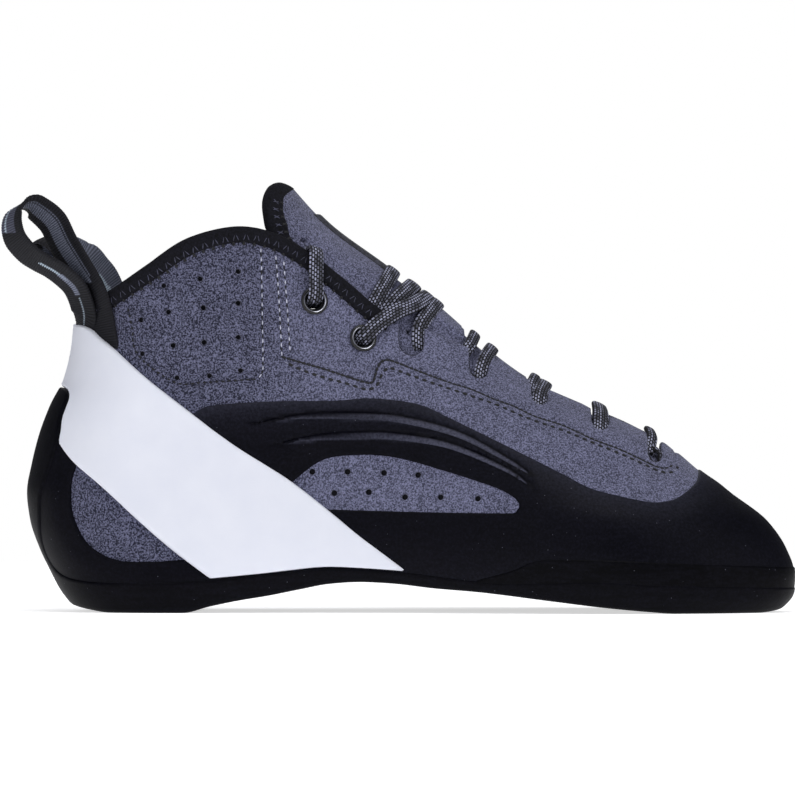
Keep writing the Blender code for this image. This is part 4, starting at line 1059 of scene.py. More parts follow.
GROOVE_LINES = [side_line(groove) + (0.0, GROOVE_RAISE) for groove in GROOVES]
GROOVE_REGIONS = [crescent(line, GROOVE_WIDTH) for line in GROOVE_LINES]
RAND_REGION = np.vstack([
    side_line(RAND_TOP), side_points([(0.90, 0.02), (0.29, 0.02), (0.17, 0.18), (0.03, 0.38)]),
])
WINDOW_REGION = np.vstack([side_line(ARCH_WINDOW), side_points([(0.16, 0.27)])])
HEEL_WINDOW_REGION = np.vstack([side_line(HEEL_WINDOW), side_points([(0.12, 0.14), (-0.05, 0.38)])])
HEEL_RAND_REGION = side_points([
    (-0.22, 0.02), (0.16, 0.02), (0.10, 0.20), (-0.10, 0.47), (-0.22, 0.47),
])


def rand_depth(place, side, level):
    """Distance inside the rand from its top edge and the arch window."""
    flat = place[:, [0, 2]]
    window = -depth_in(flat, WINDOW_REGION)
    return np.minimum(depth_in(flat, RAND_REGION), np.where(side < 0, window, 1.0))


def heel_rand_depth(place, side, level):
    """Distance inside the heel's rubber frame."""
    flat = place[:, [0, 2]]
    return np.minimum(depth_in(flat, HEEL_RAND_REGION), -depth_in(flat, HEEL_WINDOW_REGION))


def toe_strip_depth(place, side, level):
    """Distance inside the rubber strip round the forefoot."""
    return depth_in(place[:, [0, 2]], TOE_RAND_REGION)


def band_depth(place, side, level):
    """Distance inside the white band from its long edges and the sole."""
    flat = place[:, [0, 2]]
    return np.minimum(depth_in(flat, BAND_REGION), -0.2 * MM - depth_in(flat, SOLE_REGION))


def grey_rand_dust_and_painted_light(rand):
    """Greys the rand: dust along the suede, and painted light on the slopes of its grooves and along their
    lower edges.
    """
    place = np.array([corner.co for corner in rand.data.vertices])
    flat = place[:, [0, 2]]
    edge = depth_in(flat, RAND_REGION)
    near = place[:, 1] < centre_at(place[:, 0])
    grey = 0.26 * np.exp(-np.maximum(edge, 0.0) / (5.0 * MM))
    # On the inner grooves the grey is painted light: lighter on the slopes that face up, and along their
    # lower edges towards the back.
    for line, region in zip(GROOVE_LINES, GROOVE_REGIONS):
        inside = depth_in(flat, region)
        away = distance_to(flat, line)
        slope = soft_step((away - 0.35 * MM) / (0.6 * MM)) * soft_step(inside / (0.25 * MM))
        along = soft_step((place[:, 0] / LENGTH - 0.20) / 0.20)
        lip = np.exp(-((inside - 0.1 * MM) / (0.35 * MM)) ** 2) * (away > 1.2 * MM)
        lit = np.maximum(slope * (0.15 + 0.75 * along), 0.55 * lip * (1 - along))
        grey = np.where(near & (inside > -0.3 * MM), np.maximum(lit, 0.10 * (lit > 0.05)), grey)
    worn = rand.data.attributes.new("worn", "FLOAT", "POINT")
    worn.data.foreach_set("value", grey.astype(np.float32))


def make_rubber():
    """Rand, toe strip, heel frame, white band and outsole."""
    base = SOLE_THICKNESS - 2.0 * MM
    rand = panel("moulded_rand", fine_levels(base, 0.54 * HEIGHT), AROUND, rand_depth, -0.1 * MM,
                 RAND_FACE, -0.4 * MM, 0.9 * MM, groove_relief,
                 lines=[(groove_field, (-0.2 * MM, 0.0, 0.25 * MM, 1.0 * MM))],
                 taper=(0.55, 9.0 * MM), look=LOOKS["rubber"])
    grey_rand_dust_and_painted_light(rand)
    finish(rand, "rubber", "rand")
    toe = panel("toe_strip", fine_levels(base, 0.17 * HEIGHT), AROUND, toe_strip_depth, 1.5 * MM,
                TOE_STRIP_FACE, 0.3 * MM, 0.8 * MM, look=LOOKS["toe"])
    finish(toe, "rubber", "toe_rand")
    heel = panel("heel_frame", fine_levels(base, 0.50 * HEIGHT), AROUND, heel_rand_depth, -0.1 * MM,
                 RAND_FACE, -0.4 * MM, 0.9 * MM, taper=(0.6, 7.0 * MM), look=LOOKS["rubber"])
    finish(heel, "rubber", "heel_rand")
    band = panel("white_band", fine_levels(base, 0.71 * HEIGHT), AROUND, band_depth, 0.2 * MM,
                 BAND_FACE, 0.0, 0.7 * MM, look=LOOKS["white"])
    finish(band, "white_rubber", "tension_band")
    # Rows below zero are shares across the sole's underside, the others are level heights.
    rows = np.concatenate([[-1.0, -0.85, -0.6, -0.4, -0.2, -0.08, -0.02, 0.0],
                           [0.3 * MM, 0.7 * MM, 1.2 * MM], fine_levels(2.0 * MM, 0.56 * HEIGHT)])

    def sole_depth(place, side, level):
        depth = depth_in(place[:, [0, 2]], SOLE_REGION)
        return np.where(level <= 0.0, 1.0, depth)

    def sole_cap(values, front, rear):
        level = values[:, 0]
        turn = values[:, 1]
        edge = np.clip(level / (1.6 * MM), 0.0, 1.0)
        tuck = (1 - np.sqrt(1 - (1 - edge) ** 2)) * 1.1 * MM
        place = last_point(np.maximum(level, 0.0), turn)
        normal = last_normal(np.maximum(level, 0.0), turn)
        front = np.where((level < 2.0 * MM)[:, None], place + normal * (SOLE_FACE - tuck)[:, None], front)
        ground = np.zeros(len(level))
        across = last_point(ground, -turn)
        outward = last_normal(ground, -turn)
        other = across + outward * 1.4 * MM
        inner = across + outward * 0.3 * MM
        share = np.where(level < 0, 1 + level, 1.0)[:, None]
        centre = (front + other) / 2
        middle = (rear + inner) / 2
        front = np.where(share < 1, centre + (front - centre) * share, front)
        rear = np.where(share < 1, middle + (rear - middle) * share, rear)
        rear[:, 2] += np.where(level < SOLE_THICKNESS, SOLE_THICKNESS - np.maximum(level, 0.0), 0.0)
        return front, rear

    sole = panel("outsole_rubber", rows, AROUND, sole_depth, 1.5 * MM, SOLE_FACE, 0.3 * MM, 0.9 * MM,
                 cap=sole_cap, look=LOOKS["sole"])
    finish(sole, "rubber", "outsole")


def groove_field(place, side):
    """Signed distance inside either groove, far away on the outer side."""
    flat = place[:, [0, 2]]
    inside = np.maximum(depth_in(flat, GROOVE_REGIONS[0]), depth_in(flat, GROOVE_REGIONS[1]))
    return np.where(side < 0, inside, -1.0)


def make_bindings():
    """Knit edges of collar and tongue, and the suede tongue."""
    collar_band = np.vstack([COLLAR_LINE, moved(COLLAR_LINE, -COLLAR_BAND_WIDTH)[::-1]])

    def collar_depth(place, side, level):
        depth = np.minimum(depth_in(place[:, [0, 2]], collar_band), -depth_in(place[:, :2], THROAT_REGION))
        return np.minimum(depth, COLLAR_BAND_END * LENGTH - place[:, 0])

    collar = panel("collar_edge", fine_levels(0.60 * HEIGHT, 0.97 * HEIGHT, FINE_LEVEL_GAP), AROUND,
                   collar_depth, -0.5 * MM, 1.2 * MM, -2.3 * MM, 2.0 * MM, rolled=True, look=LOOKS["knit"])
    finish(collar, "knit", "collar_binding")
    tongue_region = np.vstack([side_line(TONGUE_BACK), side_points([(0.80, 0.27), (0.80, 0.98)])])
    strip = side_line(TONGUE_BINDING_EDGE)
    foot = TONGUE_BINDING_EDGE[-1][1]
    strip_region = np.vstack([strip, side_points([(0.1, foot), (0.1, 1.2), (0.2, 1.2)])])
    top = 1.05 * HEIGHT

    def tongue_depth(place, side, level):
        depth = depth_in(place[:, [0, 2]], tongue_region)
        for spot in TONGUE_SPOTS:
            depth = np.minimum(depth, np.linalg.norm(place - spot, axis=1) - TONGUE_HOLE_RADIUS)
        return depth

    tongue = panel("suede_tongue", fine_levels(0.25 * HEIGHT, top), AROUND, tongue_depth,
                   TONGUE_FACE - 1.0 * MM, TONGUE_FACE, TONGUE_FACE - 2.0 * MM, 1.2 * MM, tongue_swell,
                   rolled=True, fine=[(TONGUE_SPOTS, 2.4 * MM)], look=LOOKS["suede"])
    finish(tongue, "suede", "tongue")

    def strip_depth(place, side, level):
        flat = place[:, [0, 2]]
        return np.minimum(depth_in(flat, tongue_region), depth_in(flat, strip_region)) + 0.2 * MM

    edge = panel("tongue_edge", fine_levels(0.75 * HEIGHT, top, FINE_LEVEL_GAP), AROUND, strip_depth,
                 TONGUE_FACE - 1.0 * MM, TONGUE_FACE + 0.6 * MM, TONGUE_FACE - 2.6 * MM, 1.6 * MM,
                 tongue_swell, rolled=True, look=LOOKS["knit"])
    finish(edge, "knit", "tongue_binding")


def tongue_swell(place, side):
    """The padded tongue rises out of the throat and over the collar, with one soft seam down it."""
    flat = place[:, [0, 2]]
    above = -depth_in(flat, COLLAR_REGION)
    height = 0.9 * MM * soft_step((above - 2.0 * MM) / (3.0 * MM))
    inside = depth_in(place[:, :2], THROAT_REGION)
    height = np.maximum(height, 1.9 * MM * soft_step(inside / (3.0 * MM)))
    for place_share, foot, half in NOTCHES:
        slot = depth_in(flat, notch_outline(place_share, foot, half))
        height = np.where(slot > -1.0 * MM, np.minimum(height, 0.2 * MM), height)
    height -= 0.3 * MM * np.exp(-(distance_to(flat, TONGUE_SEAM) / (0.6 * MM)) ** 2)
    return height


TONGUE_SEAM = side_line([(0.218, 0.850), (0.2555, 0.764), (0.300, 0.690)])
TONGUE_SPOTS = [
    side_spot((0.2055, 0.874), -1, TONGUE_FACE), side_spot((0.2055, 0.874), 1, TONGUE_FACE),
    side_spot((0.341, 0.659), -1, TONGUE_FACE),
]


def swept(name, route, wide, width, thickness, look, around=16, square=2.6):
    """A flat band swept along a route, with a weave map in metres across and along it."""
    route = np.asarray(route, float)
    count = len(route)
    ahead = unit(np.vstack([route[1:], route[-1:]]) - np.vstack([route[:1], route[:-1]]))
    wide = unit(wide - ahead * (wide * ahead).sum(axis=1, keepdims=True))
    thick = np.cross(ahead, wide)
    angles = 2 * math.pi * np.arange(around) / around
    across = np.cos(angles)
    up = np.sign(np.round(np.sin(angles), 6)) * np.maximum(1 - abs(across) ** square, 0.0) ** (1 / square)
    width = np.broadcast_to(width, (count,))
    thickness = np.broadcast_to(thickness, (count,))
    points = (route[:, None, :] + wide[:, None, :] * (across[None, :] * width[:, None] / 2)[:, :, None]
              + thick[:, None, :] * (up[None, :] * thickness[:, None] / 2)[:, :, None]).reshape(-1, 3)
    faces = []
    for k in range(count - 1):
        for j in range(around):
            n = (j + 1) % around
            a = k * around
            faces.append((a + j, a + n, a + around + n, a + around + j))
    faces.append(tuple(range(around))[::-1])
    faces.append(tuple((count - 1) * around + j for j in range(around)))
    mesh = bpy.data.meshes.new(name)
    mesh.from_pydata(points.tolist(), [], faces)
    run = np.concatenate([[0.0], np.cumsum(np.linalg.norm(np.diff(route, axis=0), axis=1))])
    cover = np.stack([np.tile(across * width.max() / 2, count), np.repeat(run, around)], axis=1)
    weave = mesh.uv_layers.new(name="weave")
    corners = np.zeros(len(mesh.loops), int)
    mesh.loops.foreach_get("vertex_index", corners)
    weave.data.foreach_set("uv", cover[corners].ravel())
    mesh.shade_smooth()
    mesh.materials.append(look)
    made = bpy.data.objects.new(name, mesh)
    bpy.context.scene.collection.objects.link(made)
    return made


LOOP_ROOTS = {
    # turn from the heel's back, level as a share of HEIGHT, offset from the last in metres
    -1: [[(0.092, 0.600, -0.0022), (0.092, 0.655, 0.0006)], [(0.165, 0.640, 0.0), (0.165, 0.590, -0.0024)]],
    1: [[(0.092, 0.600, -0.0022), (0.092, 0.655, 0.0006)], [(0.165, 0.645, 0.0), (0.165, 0.590, -0.0024)]],
}
LOOP = [
    (-0.0835, 0.693, 0.260), (-0.0875, 0.722, 0.280), (-0.0955, 0.7535, 0.300), (-0.1085, 0.777, 0.315),
    (-0.1231, 0.796, 0.325), (-0.1400, 0.8126, 0.335), (-0.1558, 0.8316, 0.340), (-0.1700, 0.860, 0.340),
    (-0.1755, 0.883, 0.335), (-0.1770, 0.908, 0.325), (-0.1735, 0.930, 0.310), (-0.1630, 0.945, 0.295),
    (-0.1520, 0.946, 0.290), (-0.1390, 0.935, 0.290), (-0.1260, 0.916, 0.290), (-0.1176, 0.897, 0.290),
    (-0.1063, 0.855, 0.300), (-0.0896, 0.808, 0.315), (-0.0720, 0.750, 0.335), (-0.0610, 0.700, 0.350),
]
LOOP_WIDE = (0.52, 0.80, 0.29)
INNER_LEG_WIDE = (0.68, 0.64, 0.38)
# How far each row of the far loop lies below and ahead of the near one's: it lies flatter.
FAR_LOOP_DROP = [
    0.000, 0.000, 0.000, 0.002, 0.006, 0.012, 0.018, 0.024, 0.030, 0.038,
    0.055, 0.075, 0.085, 0.085, 0.080, 0.070, 0.050, 0.030, 0.012, 0.000,
]
FAR_LOOP_SHIFT = [
    0.000, 0.000, 0.002, 0.006, 0.012, 0.018, 0.025, 0.031, 0.036, 0.038,
    0.036, 0.033, 0.031, 0.031, 0.032, 0.033, 0.032, 0.028, 0.022, 0.018,
]
WEBBING_WIDTH = 13.0 * MM
WEBBING_THICKNESS = 1.3 * MM
RIB_PITCH = 0.8 * MM
LOOP_AROUND = 64


def make_loop(side, word):
    """Ribbed webbing loop at the heel."""
    roots = []
    for leg in LOOP_ROOTS[side]:
        for turn, share, offset in leg:
            spot = np.array([turn if side < 0 else 2.0 - turn])
            level = np.array([share * HEIGHT])
            around = last_point(level, spot + 0.01) - last_point(level, spot - 0.01)
            point = last_point(level, spot) + last_normal(level, spot) * offset
            roots.append((point[0], unit(around)[0] * -side))
    route = [roots[0], roots[1]]
    last = len(LOOP) - 1
    for index, (place, height, out) in enumerate(LOOP):
        drop = FAR_LOOP_DROP[index] if side > 0 else 0.0
        slide = FAR_LOOP_SHIFT[index] if side > 0 else -0.0035 * (12 < index < 18)
        spot = np.array([(place + slide) * LENGTH, side * out * ANKLE_WIDTH, (height - drop) * HEIGHT])
        turned = soft_step((index - 11) / 3) * soft_step((last - index) / 3)
        wide = np.array(LOOP_WIDE) * (1 - turned) + np.array(INNER_LEG_WIDE) * turned
        route.append((spot, wide * (1, side, 1)))
    route += [roots[2], roots[3]]
    both = np.hstack([np.array([point for point, _ in route]), np.array([wide for _, wide in route])])
    both = smooth_line(both, 6)
    steps = np.linalg.norm(np.diff(both[:, :3], axis=0), axis=1)
    run = np.concatenate([[0.0], np.cumsum(steps)])
    at = np.arange(0.0, run[-1], LOOP_STEP)
    both = np.stack([np.interp(at, run, both[:, k]) for k in range(6)], axis=1)
    ribs = WEBBING_THICKNESS * (1 + 0.16 * np.cos(2 * math.pi * at / RIB_PITCH))
    loop = swept(f"webbing_loop_{word}", both[:, :3], both[:, 3:], WEBBING_WIDTH, ribs, LOOKS["webbing"],
                 LOOP_AROUND, 6.0)
    paint_loop(loop, at, LOOP_AROUND, side)
    finish(loop, "webbing", f"pull_loop_{word}")
    return loop


def paint_loop(loop, at, around, side):
    """Colours of the webbing: black yarn with a painted highlight on the crests of the ribs, grey stripes
    on the inner face, pale lines on the outer, and painted sheen on the outer face.
    """
    points = np.array([corner.co for corner in loop.data.vertices])
    height = points[:, 2] / HEIGHT
    angles = 2 * math.pi * np.arange(around) / around
    across = np.tile(np.cos(angles), len(at))
    face = np.tile(np.sin(angles), len(at)) * side
    share = np.repeat(at / at[-1], around)
    painted_rib_highlight = 0.5 + 0.5 * np.cos(2 * math.pi * np.repeat(at, around) / RIB_PITCH)
    black = np.array(linear("#050508"))
    soft = np.array(linear("#1d1d26"))
    slate = np.array(linear("#5b5d70"))
    grey = np.array(linear("#7d8296"))
    pale = np.array(linear("#b9c8d8"))
    # Black yarn, painted lighter on the crests of the ribs: painted highlight.
    colour = black + (soft - black) * (0.8 * painted_rib_highlight)[:, None]
    inner = face < -0.05
    outer = face > 0.05
    back_leg = share < 0.5

    # Stripes are also painted stronger on the crests of the ribs: painted highlight.
    def stripe(centre, half, tone, mask, strength=1.0):
        inside = (abs(across - centre) <= half) & mask
        colour[inside] += (tone - colour[inside]) * (strength * (0.25 + 0.75 * painted_rib_highlight[inside]))[:, None]

    stripe(-0.08, 0.38, grey, inner & (height > 0.765), 0.8)
    stripe(0.47, 0.08, grey, inner & (height > 0.780), 0.8)
    # Slate over the top of the outer back leg: painted sheen.
    painted_sheen_tip = outer & back_leg & (height > 0.88)
    stripe(-0.30, 0.75, slate, painted_sheen_tip, 0.9)
    stripe(-0.50, 0.07, pale, painted_sheen_tip & (height < 0.945))
    line = outer & back_leg
    stripe(0.05, 0.12 * np.clip((0.835 - height) / 0.06, 0.0, 1.0), pale, line & (height > 0.770))
    stripe(0.02, 0.18, grey, line & (height > 0.736) & (height < 0.783))
    stripe(0.10, 0.06, pale, line & (height > 0.664) & (height < 0.731), 0.7)
    if side > 0:
        # Grey over the far loop's outer front leg: painted sheen.
        stripe(0.0, 1.0, grey, outer & ~back_leg, 0.75)
        taper = 0.16 * np.clip((0.805 - height) / 0.046, 0.0, 1.0)
        stripe(-0.25, taper, pale, outer & ~back_leg & (height > 0.745))
    tint = loop.data.color_attributes.new("tint", "FLOAT_COLOR", "POINT")
    tint.data.foreach_set("color", colour.astype(np.float32).ravel())


def make_eyelets():
    """Rolled black eyelets with a bright worn ring inside."""
    profile = [
        (2.4, -2.4), (2.9, -2.4), (2.9, -0.6), (4.2, -0.1), (4.65, 0.1), (4.75, 0.45), (4.55, 0.85),
        (4.2, 1.05), (3.9, 1.0), (3.72, 0.85), (3.5, 0.7), (3.35, 0.3), (3.2, -0.4), (2.7, -1.3),
    ]
    steps = 48
    for number, share in enumerate(EYELETS, 1):
        for side, word in ((-1, "near"), (1, "far")):
            level, turn = on_side(side_points([share]), side)
            point = last_point(level, turn)[0]
            axis = last_normal(level, turn)[0]
            across = unit(np.cross(axis, (0.0, 0.0, 1.0)))
            up = np.cross(across, axis)
            points = []
            for radius, height in profile:
                for k in range(steps):
                    angle = 2 * math.pi * k / steps
                    points.append(point + axis * height * MM
                                  + (across * math.cos(angle) + up * math.sin(angle)) * radius * MM)
            faces = []
            rings = len(profile)
            for i in range(rings):
                for k in range(steps):
                    n = (k + 1) % steps
                    a = i * steps
                    b = ((i + 1) % rings) * steps
                    faces.append((a + k, a + n, b + n, b + k))
            made = solid(f"rolled_eyelet_{number}_{word}", points, faces, LOOKS["metal"])
            made.data.materials.append(LOOKS["bright"])
            for face in made.data.polygons:
                middle = np.array(face.center) - point
                height = middle @ axis
                radius = np.linalg.norm(middle - axis * height)
                if 3.45 * MM < radius < 3.95 * MM and height > 0.6 * MM:
                    face.material_index = 1
            finish(made, "eyelet", f"eyelet_{number}_{word}")


def make_badge():
    """Plain badge on the ridge of the tongue."""
    rows = 40
    columns = 24
    low, high = BADGE_SPAN
    levels = np.linspace(low, high, rows + 1) * HEIGHT
    spots = []
    for level in levels:
        turns = np.linspace(0.5, 1.5, 401)
        line = last_point(np.full(401, level), turns)
        across = line[:, 1] - centre_at(line[:, 0])
        want = np.linspace(-BADGE_HALF_WIDTH, BADGE_HALF_WIDTH, columns + 1)
        spots.append(np.stack([np.full(columns + 1, level), np.interp(want, across, turns)], axis=1))
    spots = np.vstack(spots)
    place = last_point(spots[:, 0], spots[:, 1])
    normal = last_normal(spots[:, 0], spots[:, 1])
    i, j = np.divmod(np.arange(len(spots)), columns + 1)
    rim = np.minimum(np.minimum(i, rows - i) / 2.0, np.minimum(j, columns - j) / 2.0)
    bow = np.sqrt(1 - (1 - np.clip(rim, 0.0, 1.0)) ** 2)
    front = place + normal * (TONGUE_FACE + 1.0 * MM + 1.0 * MM * bow)[:, None]
    rear = place + normal * (TONGUE_FACE - 0.2 * MM)
    badge = slab("plain_badge", front, rear, columns, LOOKS["badge"])
    finish(badge, "badge", "tongue_badge")


def make_insole():
    """Lasting board inside the shoe."""
    base = SOLE_THICKNESS + LINING_CLEARANCE
    turns = np.linspace(0.0, 1.0, 161)
    share = np.linspace(0.0, 1.0, 25)[None, :, None]
    sheets = []
    for height in (base, base + BOARD_THICKNESS):
        level = np.full(len(turns), height)
        near = last_point(level, turns) - last_normal(level, turns) * BOARD_INSET
        far = last_point(level, 2.0 - turns) - last_normal(level, 2.0 - turns) * BOARD_INSET
        sheets.append((near[:, None, :] + (far - near)[:, None, :] * share).reshape(-1, 3))
    board = slab("lasting_board", sheets[0], sheets[1], 24, LOOKS["board"])
    finish(board, "board", "insole")


# Lace strips from a slot over the ridge. Each near point is place, height and lift from the last in mm;
# then come the place on the ridge with its lift, and the width in mm.
LACE_STRIPS = [
    ([(0.288, 0.690, -2.6), (0.298, 0.728, -2.0), (0.308, 0.762, -1.6)], (0.3195, -1.0), 5.6),
    ([(0.304, 0.680, -2.6), (0.318, 0.717, -1.6), (0.331, 0.742, -1.1)], (0.3455, -0.6), 6.2),
    ([(0.2765, 0.632, -6.0), (0.2775, 0.635, -1.4), (0.281, 0.642, 0.9), (0.296, 0.668, 1.5),
      (0.3207, 0.697, 0.7), (0.3455, 0.717, 0.0)], (0.3640, -0.5), 5.8),
    ([(0.3555, 0.618, -3.6), (0.3535, 0.640, -2.4), (0.3530, 0.658, -1.6), (0.3590, 0.684, -1.0)],
     (0.3760, -0.4), 5.4),
    ([(0.4110, 0.600, -2.4), (0.4135, 0.612, -1.6), (0.4185, 0.624, -0.6)], (0.4240, -0.1), 4.4),
    ([(0.4335, 0.548, -3.2), (0.4340, 0.566, -2.0), (0.4375, 0.590, -0.6)], (0.4460, 0.2), 5.0),
    ([(0.4980, 0.520, -2.2), (0.4985, 0.532, -0.8)], (0.5010, 0.7), 3.8),
    ([(0.5085, 0.480, -3.0), (0.5080, 0.496, -1.8), (0.5090, 0.511, -0.6)], (0.5145, 0.4), 5.4),
    ([(0.5885, 0.421, -3.0), (0.5880, 0.440, -1.4), (0.5870, 0.458, 0.2)], (0.5835, 1.2), 5.6),
    ([(0.6540, 0.380, -2.6), (0.6540, 0.396, -1.2), (0.6535, 0.406, 0.0)], (0.6490, 0.9), 4.0),
]


def near_side(points, side):
    """Points and directions out for side-view points with lifts in mm."""
    points = np.asarray(points, float)
    level, turn = on_side(side_points(points[:, :2]), side)
    normal = last_normal(level, turn)
    return last_point(level, turn) + normal * points[:, 2:3] * MM, normal


def over_ridge(place, lift):
    """Point and direction out on the ridge."""
    x = np.array([place * LENGTH])
    centre = smooth_table(PLAN, x / LENGTH, 1) * BALL_WIDTH
    level, turn = on_ridge(np.stack([x, centre], axis=1))
    normal = last_normal(level, turn)
    normal[:, 1] = 0.0
    normal = unit(normal)
    return last_point(level, turn) + normal * lift * MM, normal


def smooth_route(rows, gap):
    """Rows of values at even gaps along their points, without overshoot."""
    rows = np.asarray(rows, float)
    run = np.concatenate([[0.0], np.cumsum(np.linalg.norm(np.diff(rows[:, :3], axis=0), axis=1))])
    table = np.column_stack([run, rows])
    at = np.linspace(0.0, run[-1], int(round(run[-1] / gap)) + 1)
    return np.stack([smooth_table(table, at, column + 1) for column in range(rows.shape[1])], axis=1)


def lace_strip(name, rows, width, thickness=1.5):
    """A flat braid along points with directions out."""
    both = np.hstack([np.vstack([row[0] for row in rows]), np.vstack([row[1] for row in rows])])
    route = smooth_route(both, 0.4 * MM)
    normal = unit(route[:, 3:])
    route = route[:, :3]
    ahead = unit(np.vstack([route[1:], route[-1:]]) - np.vstack([route[:1], route[:-1]]))
    return swept(name, route, np.cross(ahead, normal), width * MM, thickness * MM, LOOKS["lace"], 20)


def make_lace():
    """Lace strips over the tongue."""
    strips = []
    for number, (points, (place, lift), width) in enumerate(LACE_STRIPS):
        near = near_side(points, -1)
        far = near_side(points, 1)
        rows = [near, over_ridge(place, lift), (far[0][::-1], far[1][::-1])]
        strips.append(lace_strip(f"lace_strip_{number}", rows, width, 2.1))
    along = [(0.590, -1.0, 0.006), (0.605, -0.7, 0.010), (0.622, -0.7, 0.010), (0.640, -0.9, 0.006)]
    x = np.array([place * LENGTH for place, _, _ in along])
    centre = smooth_table(PLAN, x / LENGTH, 1) * BALL_WIDTH
    level, turn = on_ridge(np.stack([x, centre + np.array([y for _, _, y in along]) * LENGTH], axis=1))
    normal = last_normal(level, turn)
    rows = [(last_point(level, turn) + normal * np.array([[lift * MM] for _, lift, _ in along]), normal)]
    strips.append(lace_strip("lace_along", rows, 3.6, 1.2))
    end = near_side([
        (0.653, 0.398, -1.6), (0.6593, 0.383, -0.9), (0.666, 0.370, -1.1), (0.6675, 0.354, -2.2),
    ], -1)
    strips.append(lace_strip("lace_foot", [end], 2.2, 1.5))
    finish(join("woven_lace", strips), "lace", "lace")


def make_lace_runs():
    """The two free lace ends, from inside the top eyelets over the collar's edge."""
    for side, word in ((-1, "near"), (1, "far")):
        points, _ = near_side(LACE_RUN, side)
        run = lace_strip(f"lace_run_{word}", [near_side(LACE_RUN, side)], LACE_WIDTH / MM, 1.6)
        finish(run, "lace", f"lace_end_{word}")
        route = smooth_route(points, 1.5 * MM)


LACE_WIDTH = 5.2 * MM
LACE_RUN = [
    (0.2150, 0.7200, -7.8), (0.2150, 0.7210, -2.0), (0.2150, 0.7245, 1.3), (0.2150, 0.7450, 2.6),
    (0.2140, 0.7700, 2.9), (0.2135, 0.8000, 3.1), (0.2135, 0.8260, 2.8), (0.2135, 0.8400, 1.4),
    (0.2135, 0.8440, -0.6), (0.2135, 0.8420, -2.6),
]


def join(name, parts):
    """Joins objects into one."""
    bpy.ops.object.select_all(action="DESELECT")
    for part in parts:
        part.select_set(True)
    bpy.context.view_layer.objects.active = parts[0]
    bpy.ops.object.join()
    made = bpy.context.view_layer.objects.active
    made.name = name
    made.data.name = name
    return made


def stitch_tree():
    """Geometry nodes: one thread capsule on every point, turned by the point's own directions."""
    tree = bpy.data.node_groups.new("stitches", "GeometryNodeTree")
    tree.interface.new_socket("Geometry", in_out="INPUT", socket_type="NodeSocketGeometry")
    tree.interface.new_socket("Stitch length", in_out="INPUT", socket_type="NodeSocketFloat")
    tree.interface.new_socket("Thread width", in_out="INPUT", socket_type="NodeSocketFloat")
    tree.interface.new_socket("Thread", in_out="INPUT", socket_type="NodeSocketMaterial")
    tree.interface.new_socket("Geometry", in_out="OUTPUT", socket_type="NodeSocketGeometry")
    source = node(tree, "NodeGroupInput")
    ball = node(tree, "GeometryNodeMeshUVSphere", inputs={"Segments": 8, "Rings": 6, "Radius": 0.5})
    size = node(tree, "ShaderNodeCombineXYZ", inputs={
        "X": source.outputs["Stitch length"], "Y": source.outputs["Thread width"],
        "Z": source.outputs["Thread width"]})
    along = node(tree, "GeometryNodeInputNamedAttribute", {"data_type": "FLOAT_VECTOR"}, {"Name": "along"})
    out = node(tree, "GeometryNodeInputNamedAttribute", {"data_type": "FLOAT_VECTOR"}, {"Name": "out"})
    first = node(tree, "FunctionNodeAlignRotationToVector", {"axis": "Z"},
                 {"Vector": out.outputs["Attribute"]})
    second = node(tree, "FunctionNodeAlignRotationToVector", {"axis": "X", "pivot_axis": "Z"},
                  {"Rotation": first.outputs[0], "Vector": along.outputs["Attribute"]})
    placed = node(tree, "GeometryNodeInstanceOnPoints", inputs={
        "Points": source.outputs["Geometry"], "Instance": ball.outputs["Mesh"],
        "Rotation": second.outputs[0], "Scale": size.outputs[0]})
    real = node(tree, "GeometryNodeRealizeInstances", inputs={"Geometry": placed.outputs[0]})
    smooth = node(tree, "GeometryNodeSetShadeSmooth", inputs={"Geometry": real.outputs[0]})
    dressed = node(tree, "GeometryNodeSetMaterial", inputs={
        "Geometry": smooth.outputs[0], "Material": source.outputs["Thread"]})
    node(tree, "NodeGroupOutput", inputs={0: dressed.outputs[0]})
    return tree


STITCHES = stitch_tree()


def make_stitches(name, rows, length, width, look):
    """Stitches as one mesh. Each row is points, directions along and directions out."""
    points = np.vstack([row[0] for row in rows])
    along = np.vstack([row[1] for row in rows])
    out = np.vstack([row[2] for row in rows])
    mesh = bpy.data.meshes.new(name)
    mesh.from_pydata(points.tolist(), [], [])
    for key, vectors in (("along", along), ("out", out)):
        store = mesh.attributes.new(key, "FLOAT_VECTOR", "POINT")
        store.data.foreach_set("vector", vectors.astype(np.float32).ravel())
    source = bpy.data.objects.new(name + "_points", mesh)
    bpy.context.scene.collection.objects.link(source)
    step = source.modifiers.new("stitches", "NODES")
    step.node_group = STITCHES
    values = {"Stitch length": length, "Thread width": width, "Thread": look}
    for item in STITCHES.interface.items_tree:
        if item.in_out == "INPUT" and item.name in values:
            step[item.identifier] = values[item.name]
    bpy.context.view_layer.update()
    graph = bpy.context.evaluated_depsgraph_get()
    result = bpy.data.meshes.new_from_object(source.evaluated_get(graph))
    result.name = name
    bpy.data.objects.remove(source, do_unlink=True)
    made = bpy.data.objects.new(name, result)
    bpy.context.scene.collection.objects.link(made)
    return made


def stitch_row(line, gap, side, lift, relief=seam_relief, tilt=0.0):
    """Stitch places along a side-view line on one side of the upper."""
    spots = spaced(line, gap)
    middle = (spots[1:] + spots[:-1]) / 2
    level, turn = on_side(middle, side)
    place = last_point(level, turn)
    normal = last_normal(level, turn)
    rise = np.full(len(place), lift)
    if relief:
        rise = lift + relief(place, np.full(len(place), side))
    start_level, start_turn = on_side(spots, side)
    ends = last_point(start_level, start_turn)
    along = unit(ends[1:] - ends[:-1])
    if tilt:
        across = np.cross(normal, along)
        along = unit(along + across * tilt)
    return place + normal * rise[:, None], along, normal


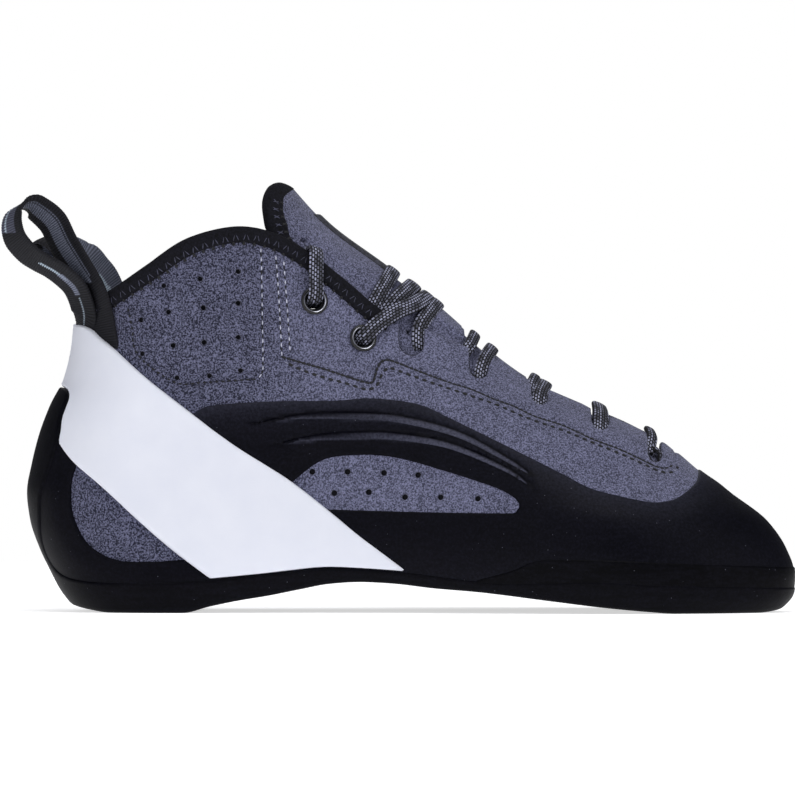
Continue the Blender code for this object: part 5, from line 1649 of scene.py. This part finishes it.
def make_seams():
    """Stitch rows of the upper and zigzags of the bindings."""
    pale = []
    dull = []
    dark = []
    black_thread_and_painted_holes = []
    zigzag = []
    points = []
    for side in (-1, 1):
        seam = side_line(QUARTER_SEAM)[:-14]
        row = side_line(LOWER_ROW)
        black_thread_and_painted_holes.append(stitch_row(seam, SEAM_PITCH, side, -0.02 * MM))
        dull.append(stitch_row(row, ROW_PITCH, side, 0.0))
        # Black capsules between the grey stitches: painted shade of the stitch holes.
        black_thread_and_painted_holes.append(stitch_row(spaced(row, ROW_PITCH / 2)[1:-1], ROW_PITCH, side, -0.02 * MM))
        pad = side_line(PAD_SEAM)
        rising = pad[len(pad) * 8 // 13:]
        for line in STAY_LINES + [rising]:
            pale.append(stitch_row(line, STAY_PITCH, side, 0.12 * MM))
            # Black capsules between the pale stitches: painted shade of the stitch holes.
            dark.append(stitch_row(spaced(line, STAY_PITCH / 2)[1:-1], STAY_PITCH, side, 0.02 * MM))
        dark.append(stitch_row(pad[8:len(pad) * 8 // 13], PAD_PITCH, side, 0.15 * MM))
    for side in (-1, 1):
        edge = COLLAR_LINE[(COLLAR_LINE[:, 0] > -0.145 * LENGTH) & (COLLAR_LINE[:, 0] < 0.300 * LENGTH)]
        low = spaced(moved(edge, -4.1 * MM), ZIGZAG_PITCH)
        foot = spaced(moved(edge, -5.9 * MM), ZIGZAG_PITCH)
        for tilt in (2.6, -2.6):
            row = low - unit(np.gradient(low, axis=0)) * (math.copysign(0.15, tilt) * ZIGZAG_PITCH)
            zigzag.append(stitch_row(row, ZIGZAG_PITCH, side, 1.05 * MM, None, tilt))
        for tilt in (2.0, -2.0):
            points.append(stitch_row(foot, ZIGZAG_PITCH, side, 0.25 * MM, None, tilt))
        border = spaced(side_line(TONGUE_BINDING_EDGE[2:]), BORDER_PITCH)
        seam = spaced(moved(border, -2.0 * MM), BORDER_PITCH)
        for tilt in (2.2, -2.2):
            for kind, line, rise in ((points, border, 0.35 * MM), (zigzag, seam, 0.62 * MM)):
                kind.append(stitch_row(line, BORDER_PITCH, side, TONGUE_FACE + rise, tongue_swell, tilt))
    # Each kind of stitch: its rows, its length and its thread's width in mm, its thread and its slot.
    for name, rows, length, width, thread, slot in (
        ("pale_stitches", pale, 1.5, 0.5, "thread", "suede"),
        ("grey_stitches", dull, 1.3, 0.42, "dull_thread", "suede"),
        ("black_stitches_and_painted_holes", dark, 1.35, 0.68, "black_thread", "suede"),
        ("bold_stitches", black_thread_and_painted_holes, 1.95, 1.1, "black_thread", "suede"),
        ("collar_zigzag", zigzag, 2.7, 0.4, "slate_thread", "knit"),
        ("collar_edge_stitches", points, 2.2, 0.7, "black_thread", "knit"),
    ):
        finish(make_stitches(name, rows, length * MM, width * MM, LOOKS[thread]), slot)


def main():
    """Builds every piece."""
    make_camera()
    make_lace_runs()
    make_upper()
    make_rubber()
    make_bindings()
    make_insole()
    make_badge()
    make_eyelets()
    make_lace()
    for side, word in ((-1, "near"), (1, "far")):
        make_loop(side, word)
    make_seams()
    make_studio()


main()
